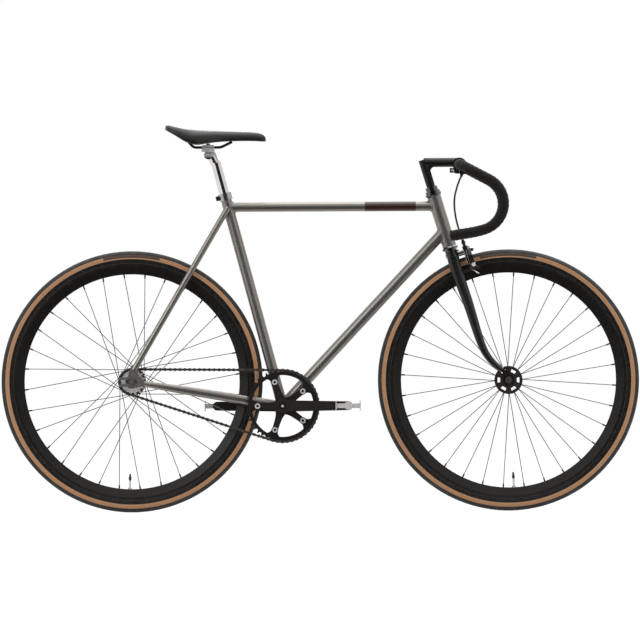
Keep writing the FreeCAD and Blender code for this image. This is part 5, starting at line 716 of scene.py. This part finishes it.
class BIKE_OT_frame(bpy.types.Operator):
    """Paint the frame, and fillet the joints between its tubes"""

    bl_idname = "bike.frame"
    bl_label = "Frame"

    TOP_POINT = Vector((0.0, 0.0, 0.791))
    TOP_RADIUS = 0.0127
    DOWN_POINT = Vector((0.0213, 0.0, 0.4016))
    DOWN_LINE = Vector((0.6826, 0.0, 0.7308))
    DOWN_RADIUS = 0.0143
    HEAD_TUBE = (STEER_FOOT, STEER, 0.018)
    SEAT_TUBE = (BRACKET, SEAT_LINE, 0.0143)

    def execute(self, context):
        paint = frame_paint("frame_paint")
        dress(paint, "head_tube", "down_tube", "seat_tube", "bottom_bracket_shell", "chain_stays",
              "seat_stays")
        dress(frame_paint("dropout_paint", lift=0.75, metal=0.35), "rear_dropouts")
        dress(frame_paint("top_tube_paint", band=True), "top_tube")
        dress(black_alloy("headset_black", 0.16, gloss=0.8), "headset_cups")
        dress(black_alloy("bracket_cup_black", 0.3), "bottom_bracket_cups")
        dress(bright_alloy("collar_silver", 0.2, colour=tuple(colours().collar_grey)), "seat_clamp")
        weld_bead("top_tube_front_bead", self.TOP_POINT, FORWARD, UP, self.TOP_RADIUS, self.HEAD_TUBE, paint)
        weld_bead("top_tube_rear_bead", self.TOP_POINT, -FORWARD, UP, self.TOP_RADIUS, self.SEAT_TUBE, paint)
        weld_bead("down_tube_front_bead", self.DOWN_POINT, self.DOWN_LINE, ACROSS, self.DOWN_RADIUS,
                  self.HEAD_TUBE, paint)
        return {"FINISHED"}


class BIKE_OT_fork(bpy.types.Operator):
    """Paint the fork and finish the headset"""

    bl_idname = "bike.fork"
    bl_label = "Fork and headset"

    def execute(self, context):
        dress(fork_paint(), "fork_steerer", "fork_crown", "fork_blades")
        dress(black_alloy("race_black", 0.15, gloss=0.8), "headset_races")
        dress(chain_steel("front_axle_steel", 2.4), "front_axle")
        return {"FINISHED"}


class BIKE_OT_cockpit(bpy.types.Operator):
    """Finish the stem, the bar and the brake lever"""

    bl_idname = "bike.cockpit"
    bl_label = "Stem, bar and lever"

    EAR_BOLT = ((-0.0010, 0.0042), (0.0020, 0.0042), (0.0028, 0.0036), (0.0028, 0.0022), (0.0014, 0.0020),
                (0.0014, 0.0))
    EAR_FACE = Vector((0.3460, -0.0780, 0.8830))

    def execute(self, context):
        dress(black_alloy("stem_black", 0.32), "stem")
        dress(black_alloy("bar_black", 0.34, (1.0, 0.1, 1.0)), "handlebar")
        dress(chain_steel("stem_bolt_steel"), "stem_bolts")
        dress(black_alloy("lever_black", 0.3), "brake_lever", "brake_lever_bracket")
        turned_piece("lever_clamp_bolt", "fork", "steel", bright_steel("lever_bolt_steel", 0.2),
                     self.EAR_BOLT, self.EAR_FACE, -ACROSS, STEER)
        return {"FINISHED"}


class BIKE_OT_tape(bpy.types.Operator):
    """Wind cork tape on both sides of the bar and push in the end plugs"""

    bl_idname = "bike.tape"
    bl_label = "Bar tape"

    PLUG = ((-0.004, 0.0095), (-0.0002, 0.0120), (0.0002, 0.0134), (0.0012, 0.0137), (0.0022, 0.0135),
            (0.0032, 0.0126), (0.0041, 0.0108), (0.0048, 0.0082), (0.0052, 0.0050), (0.0054, 0.0))

    def execute(self, context):
        cork = cork_tape()
        plug_black = black_rubber("plug_black", 0.42)
        for side, name in ((-1.0, "right"), (1.0, "left")):
            points, faces, end = wound_tape(side)
            tape = new_piece(f"wound_tape_{name}", points, faces, cork, "fork")
            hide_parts("bar_tape")
            turned_piece(f"end_plug_{name}", "fork", "rubber", plug_black, self.PLUG, *end)
        return {"FINISHED"}


class BIKE_OT_brake(bpy.types.Operator):
    """Finish the front brake and its cable"""

    bl_idname = "bike.brake"
    bl_label = "Front brake"

    ANCHOR = ((-0.0010, 0.0046), (0.0008, 0.0050), (0.0024, 0.0050), (0.0030, 0.0044), (0.0030, 0.0026),
              (0.0014, 0.0024), (0.0014, 0.0))
    ANCHOR_FACE = STEER_FOOT + STEER * 0.313 + AHEAD * 0.0454 + Vector((0.0, -0.0535, 0.0))
    END_CAP = ((-0.0060, 0.0011), (-0.0056, 0.0015), (0.0050, 0.0015), (0.0058, 0.0011), (0.0060, 0.0))
    CABLE_END = Vector((0.4079, -0.0470, 0.6187))
    CABLE_LINE = (AHEAD * 11.0 - STEER * 12.0).normalized()

    def execute(self, context):
        dress(black_alloy("caliper_black", 0.3, lift=1.6), "brake_arm_left", "brake_arm_right")
        dress(black_rubber("pad_black", 0.66), "brake_pad_left", "brake_pad_right")
        dress(bright_steel("brake_steel", 0.22), "brake_pivot_bolt", "brake_spring", "brake_cable")
        dress(black_rubber("housing_black", 0.45), "brake_cable_housing")
        silver = small_silver("brake_silver", 0.3, 0.4)
        turned_piece("cable_anchor", "brake_arm_left", "steel", silver,
                     self.ANCHOR, self.ANCHOR_FACE, -ACROSS, STEER)
        turned_piece("cable_end_cap", "fork", "steel", silver,
                     self.END_CAP, self.CABLE_END, self.CABLE_LINE, ACROSS, 24)
        return {"FINISHED"}


class BIKE_OT_wheels(bpy.types.Operator):
    """Finish the tyres, rims, spokes and hubs"""

    bl_idname = "bike.wheels"
    bl_label = "Wheels"

    VALVE_ANGLES = {"front": math.radians(272.6), "rear": math.radians(268.5)}
    VALVE_NUT = ((-0.0014, 0.0050), (0.0, 0.0053), (0.0012, 0.0053), (0.0020, 0.0046), (0.0038, 0.0040),
                 (0.0046, 0.0036), (0.0046, 0.0028))
    NUT_RADIUS = 0.2786
    VALVE_TIP = ((-0.0010, 0.0028), (0.0004, 0.00235), (0.0065, 0.00235), (0.0065, 0.0010))
    CAP = ((0.0050, 0.0024), (0.0052, 0.0034), (0.0060, 0.00365), (0.0130, 0.0036), (0.0140, 0.0030),
           (0.0146, 0.0026), (0.0200, 0.0024), (0.0210, 0.0016), (0.0213, 0.0))
    TIP_RADIUS = 0.2600

    def valve(self, end, axle):
        """The valve's rim nut, bright tip and black cap."""
        turn = self.VALVE_ANGLES[end]
        outward = Vector((math.cos(turn), 0.0, math.sin(turn)))
        silver = bright_steel(f"{end}_valve_steel", 0.3, 0.6)
        cap_black = black_rubber(f"{end}_cap_black", 0.5, (0.008, 0.0075, 0.007))
        for name, profile, radius, finish, slot in (
                ("valve_nut", self.VALVE_NUT, self.NUT_RADIUS, silver, "steel"),
                ("valve_tip", self.VALVE_TIP, self.TIP_RADIUS, silver, "steel"),
                ("valve_cap", self.CAP, self.TIP_RADIUS, cap_black, "rubber")):
            turned_piece(f"{end}_{name}", f"{end}_wheel", slot, finish,
                         profile, axle + outward * radius, -outward, ACROSS, 32)

    def execute(self, context):
        spoke_steel = bright_steel("spoke_steel", 0.34, 0.15)
        nipple_black = black_alloy("nipple_black", 0.4)
        for end, axle in (("front", FRONT_AXLE), ("rear", REAR_AXLE)):
            dress(tyre_rubber(f"{end}_tyre_rubber", axle), f"{end}_tyre")
            dress(rim_alloy(f"{end}_rim_alloy", axle), f"{end}_rim")
            dress(valve_tube(f"{end}_tube_rubber", axle), f"{end}_inner_tube")
            dress(spoke_steel, f"{end}_spokes")
            dress(nipple_black, f"{end}_nipples")
            self.valve(end, axle)
        dress(black_alloy("front_hub_black", 0.28, lift=5.0), "front_hub")
        dress(bright_alloy("rear_hub_silver", 0.26, (1.0, 0.1, 1.0)), "rear_hub")
        dress(chain_steel("rear_axle_steel", 4.0), "rear_axle")
        return {"FINISHED"}


class BIKE_OT_drive(bpy.types.Operator):
    """Finish the cranks, chainring, chain and cog"""

    bl_idname = "bike.drive"
    bl_label = "Cranks and chain"

    def execute(self, context):
        dress(black_alloy("crank_black", 0.34, lift=2.8), "crank_right", "crank_left")
        dress(black_alloy("ring_black", 0.3, lift=2.4), "chainring")
        dress(bolt_silver(), "crank_bolts")
        dress(bright_steel("spindle_steel"), "bottom_bracket_spindle")
        dress(chain_steel("outer_link_steel", 1.3), "chain_outer_links")
        dress(chain_steel("inner_link_steel", 2.4), "chain_inner_links")
        dress(small_silver("cog_silver", 0.36, 0.4), "rear_cog", "rear_lockring")
        return {"FINISHED"}


class BIKE_OT_pedals(bpy.types.Operator):
    """Finish the pedals"""

    bl_idname = "bike.pedals"
    bl_label = "Pedals"

    def execute(self, context):
        dress(small_silver("pedal_silver", 0.34, 0.35), "pedal_right", "pedal_left")
        dress(chain_steel("pedal_axle_steel"), "pedal_axles")
        return {"FINISHED"}


class BIKE_OT_seat(bpy.types.Operator):
    """Finish the post, the clamp and the saddle's rails and shell"""

    bl_idname = "bike.seat"
    bl_label = "Seat post"

    def execute(self, context):
        dress(polished_tube(), "seatpost")
        dress(small_silver("clamp_silver", 0.36, 0.6), "saddle_clamp")
        dress(black_alloy("rail_black", 0.3), "saddle_rails")
        dress(black_rubber("shell_plastic", 0.5), "saddle_base")
        return {"FINISHED"}


class BIKE_OT_saddle(bpy.types.Operator):
    """Stretch the padded cover over the saddle's shell, with a welt round its edge"""

    bl_idname = "bike.saddle"
    bl_label = "Saddle cover"

    def execute(self, context):
        rows = SaddleShape().skin()
        points = [point for row in rows for point in row]
        faces = capped_faces(len(rows), len(rows[0]))
        cover = new_piece("padded_saddle", points, faces, saddle_leather(), "seatpost")
        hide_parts("saddle_cover")
        self.welt(rows)
        return {"FINISHED"}

    def welt(self, rows):
        """A thin black cord sewn along the lower edge, round the tail and the nose."""
        ring, left_edge = 8, len(rows[0]) // 2 - 1
        line = [row[0] for row in rows] + [row[left_edge] for row in reversed(rows)]
        points = []
        for index, place in enumerate(line):
            heading = (line[(index + 1) % len(line)] - line[index - 1]).normalized()
            for _, arm in circle(*square_arms(heading, UP), ring):
                points.append(place + arm * sizes().seam_radius)
        welt_black = black_rubber("welt_black", 0.5)
        new_piece("saddle_welt", points, loop_faces(len(line), ring), welt_black, "seatpost")


class BIKE_OT_stage(bpy.types.Operator):
    """Lay the pale floor, hang the lamps and stand the camera at the side"""

    bl_idname = "bike.stage"
    bl_label = "Studio"

    DISTANCE = 70.0
    PICTURE_WIDTH = 1.6606
    PICTURE_MIDDLE = 0.497
    ROLL = math.radians(0.29)
    SENSOR = 36.0
    FLOOR_REACH = 30.0
    FLOOR_STEPS = 60
    FLOOR_HEIGHT = -0.0005
    PAPER = (0.66, 0.66, 0.66)
    PAPER_GLOW = 0.7
    ROOM_LIGHT = 0.30
    SCREEN_HALF = 4.5
    SCREEN_PLACE = -7.0
    SCREEN_BOW = 0.8
    SCREEN_FOOT = 0.02
    SCREEN_HEIGHT = 3.0
    CLOTH_SHARE = 0.22
    CLOTH_EDGE = (-0.40, 0.003)
    SUN_POWER = 2.7
    SUN_SPREAD = math.radians(70)
    SUN_TILT = (math.radians(-8), math.radians(4), 0.0)
    TARGET = Vector((0.0, 0.0, 0.5))
    SOFTBOXES = (
        ("left_softbox", Vector((-3.2, -3.4, 2.2)), 2.0, 52.0, True),
        ("right_softbox", Vector((3.6, -1.8, 1.6)), 1.4, 26.0, False),
        ("back_softbox", Vector((0.8, 3.8, 1.8)), 3.0, 40.0, True),
    )

    def execute(self, context):
        self.floor()
        self.surround()
        self.dark_screen()
        self.overhead()
        for softbox in self.SOFTBOXES:
            self.lamp(*softbox)
        self.camera()
        return {"FINISHED"}

    @staticmethod
    def white_where_seen(tree):
        """1 for the rays of the camera, mirrors and glass, which see white, and 0 for the rest."""
        rays = tree.nodes.new("ShaderNodeLightPath").outputs
        share = rays["Is Camera Ray"]
        for ray in ("Is Glossy Ray", "Is Transmission Ray"):
            either = tree.nodes.new("ShaderNodeMath")
            either.operation = "MAXIMUM"
            tree.links.new(share, either.inputs[0])
            tree.links.new(rays[ray], either.inputs[1])
            share = either.outputs[0]
        return share

    @staticmethod
    def sheet(name, points, count, material):
        """A sheet through rows of points that all have the same count."""
        mesh = bpy.data.meshes.new(name)
        mesh.from_pydata(points, [], rows_to_faces(len(points) // count, count, closed=False))
        mesh.materials.append(material)
        return stand(name, mesh)

    def floor(self):
        """A wide sheet of white paper that keeps a soft shadow."""
        places = [-self.FLOOR_REACH + 2 * self.FLOOR_REACH * step / self.FLOOR_STEPS
                  for step in range(self.FLOOR_STEPS + 1)]
        points = [(across, back, 0.0) for back in places for across in places]
        made = Finish("floor_paper", self.PAPER, 0.9, Specular_IOR_Level=0.0)
        made.vary(3.0, 0.004)
        seen = self.white_where_seen(made.tree)
        made.tint(seen, WHITE)
        glow = made.node("ShaderNodeEmission", {"Color": (*WHITE, 1.0)}).outputs[0]
        share = made.times(seen, self.PAPER_GLOW)
        mixed = made.node("ShaderNodeMixShader", {0: share, 1: made.shader.outputs[0], 2: glow})
        made.tree.links.new(mixed.outputs[0], made.output.inputs["Surface"])
        sheet = self.sheet("floor", points, len(places), made.material)
        sheet.location.z = self.FLOOR_HEIGHT

    def surround(self):
        """A dim room that looks white where it is seen."""
        world = bpy.data.worlds.new("studio")
        bpy.context.scene.world = world
        world.use_nodes = True
        tree = world.node_tree
        tree.nodes.clear()
        output = tree.nodes.new("ShaderNodeOutputWorld")
        mixed = tree.nodes.new("ShaderNodeMixShader")
        tree.links.new(self.white_where_seen(tree), mixed.inputs[0])
        for socket, strength in ((1, self.ROOM_LIGHT), (2, 1.0)):
            light = tree.nodes.new("ShaderNodeBackground")
            light.inputs["Color"].default_value = (*WHITE, 1.0)
            light.inputs["Strength"].default_value = strength
            tree.links.new(light.outputs[0], mixed.inputs[socket])
        tree.links.new(mixed.outputs[0], output.inputs["Surface"])

    def dark_screen(self):
        """Painted dark reflections: a dark sheet that shiny pieces alone see, standing for the unlit room
        behind the camera and for a dark cloth laid before it where the camera sees pale floor.
        """
        rows, columns, half = 9, 16, self.SCREEN_HALF
        widths = [-half + 2 * half * column / columns for column in range(columns + 1)]
        points = [(across * self.CLOTH_SHARE, *self.CLOTH_EDGE) for across in widths]
        for row in range(rows):
            height = self.SCREEN_FOOT + self.SCREEN_HEIGHT * row / (rows - 1)
            for across in widths:
                bowed = self.SCREEN_PLACE - self.SCREEN_BOW * (1.0 - (across / half) ** 2)
                points.append((across, bowed, height))
        made = Finish("reflection_only_dark_screen", (0.035, 0.033, 0.031), 0.95, Specular_IOR_Level=0.0)
        made.vary(2.0, 0.1)
        screen = self.sheet("dark_screen", points, len(widths), made.material)
        screen.visible_camera = False
        screen.visible_diffuse = False
        screen.visible_shadow = False

    def overhead(self):
        """Wide soft light from straight above, even over the whole floor."""
        data = bpy.data.lights.new("overhead", "SUN")
        data.energy = self.SUN_POWER
        data.angle = self.SUN_SPREAD
        stand("overhead", data).rotation_euler = self.SUN_TILT

    def lamp(self, name, place, width, power, mirrored):
        """A square lamp turned to the bike, which shiny pieces mirror where asked."""
        data = bpy.data.lights.new(name, "AREA")
        data.shape = "SQUARE"
        data.size = width
        data.energy = power
        lamp = stand(name, data)
        lamp.location = place
        lamp.rotation_euler = (self.TARGET - place).to_track_quat("-Z", "Y").to_euler()
        lamp.visible_camera = False
        lamp.visible_glossy = mirrored

    def camera(self):
        """A far camera with a long lens, square to the bike's right side and rolled a little."""
        data = bpy.data.cameras.new("side_camera")
        data.sensor_width = self.SENSOR
        data.lens = self.SENSOR * self.DISTANCE / self.PICTURE_WIDTH
        data.clip_start = 0.1
        data.clip_end = 200.0
        camera = stand("side_camera", data)
        facing = Matrix.Rotation(math.pi / 2, 4, "X")
        turned = Matrix.Rotation(self.ROLL, 4, "Y")
        place = Matrix.Translation((0.0, -self.DISTANCE, self.PICTURE_MIDDLE))
        camera.matrix_world = place @ turned @ facing
        bpy.context.scene.camera = camera


OPERATORS = (BIKE_OT_frame, BIKE_OT_fork, BIKE_OT_cockpit, BIKE_OT_tape, BIKE_OT_brake, BIKE_OT_wheels,
             BIKE_OT_drive, BIKE_OT_pedals, BIKE_OT_seat, BIKE_OT_saddle, BIKE_OT_stage)


class BIKE_PT_finish(bpy.types.Panel):
    """Sidebar panel with the bike's sizes, colours and building steps"""

    bl_idname = "BIKE_PT_finish"
    bl_label = "Fixed gear bike"
    bl_space_type = "VIEW_3D"
    bl_region_type = "UI"
    bl_category = "Bike"

    def draw(self, context):
        for group in (context.scene.bike_sizes, context.scene.bike_colours):
            column = self.layout.column()
            for name in group.__annotations__:
                column.prop(group, name)
        for operator in OPERATORS:
            self.layout.operator(operator.bl_idname)


CLASSES = (BikeColours, BikeSizes, *OPERATORS, BIKE_PT_finish)


def register():
    for each in CLASSES:
        bpy.utils.register_class(each)
    bpy.types.Scene.bike_colours = PointerProperty(type=BikeColours)
    bpy.types.Scene.bike_sizes = PointerProperty(type=BikeSizes)


def unregister():
    del bpy.types.Scene.bike_sizes
    del bpy.types.Scene.bike_colours
    for each in reversed(CLASSES):
        bpy.utils.unregister_class(each)


def main():
    register()
    bpy.context.scene.view_settings.view_transform = "Standard"
    bpy.ops.bike.frame()
    bpy.ops.bike.fork()
    bpy.ops.bike.cockpit()
    bpy.ops.bike.tape()
    bpy.ops.bike.brake()
    bpy.ops.bike.wheels()
    bpy.ops.bike.drive()
    bpy.ops.bike.pedals()
    bpy.ops.bike.seat()
    bpy.ops.bike.saddle()
    bpy.ops.bike.stage()


if __name__ == "__main__":
    main()
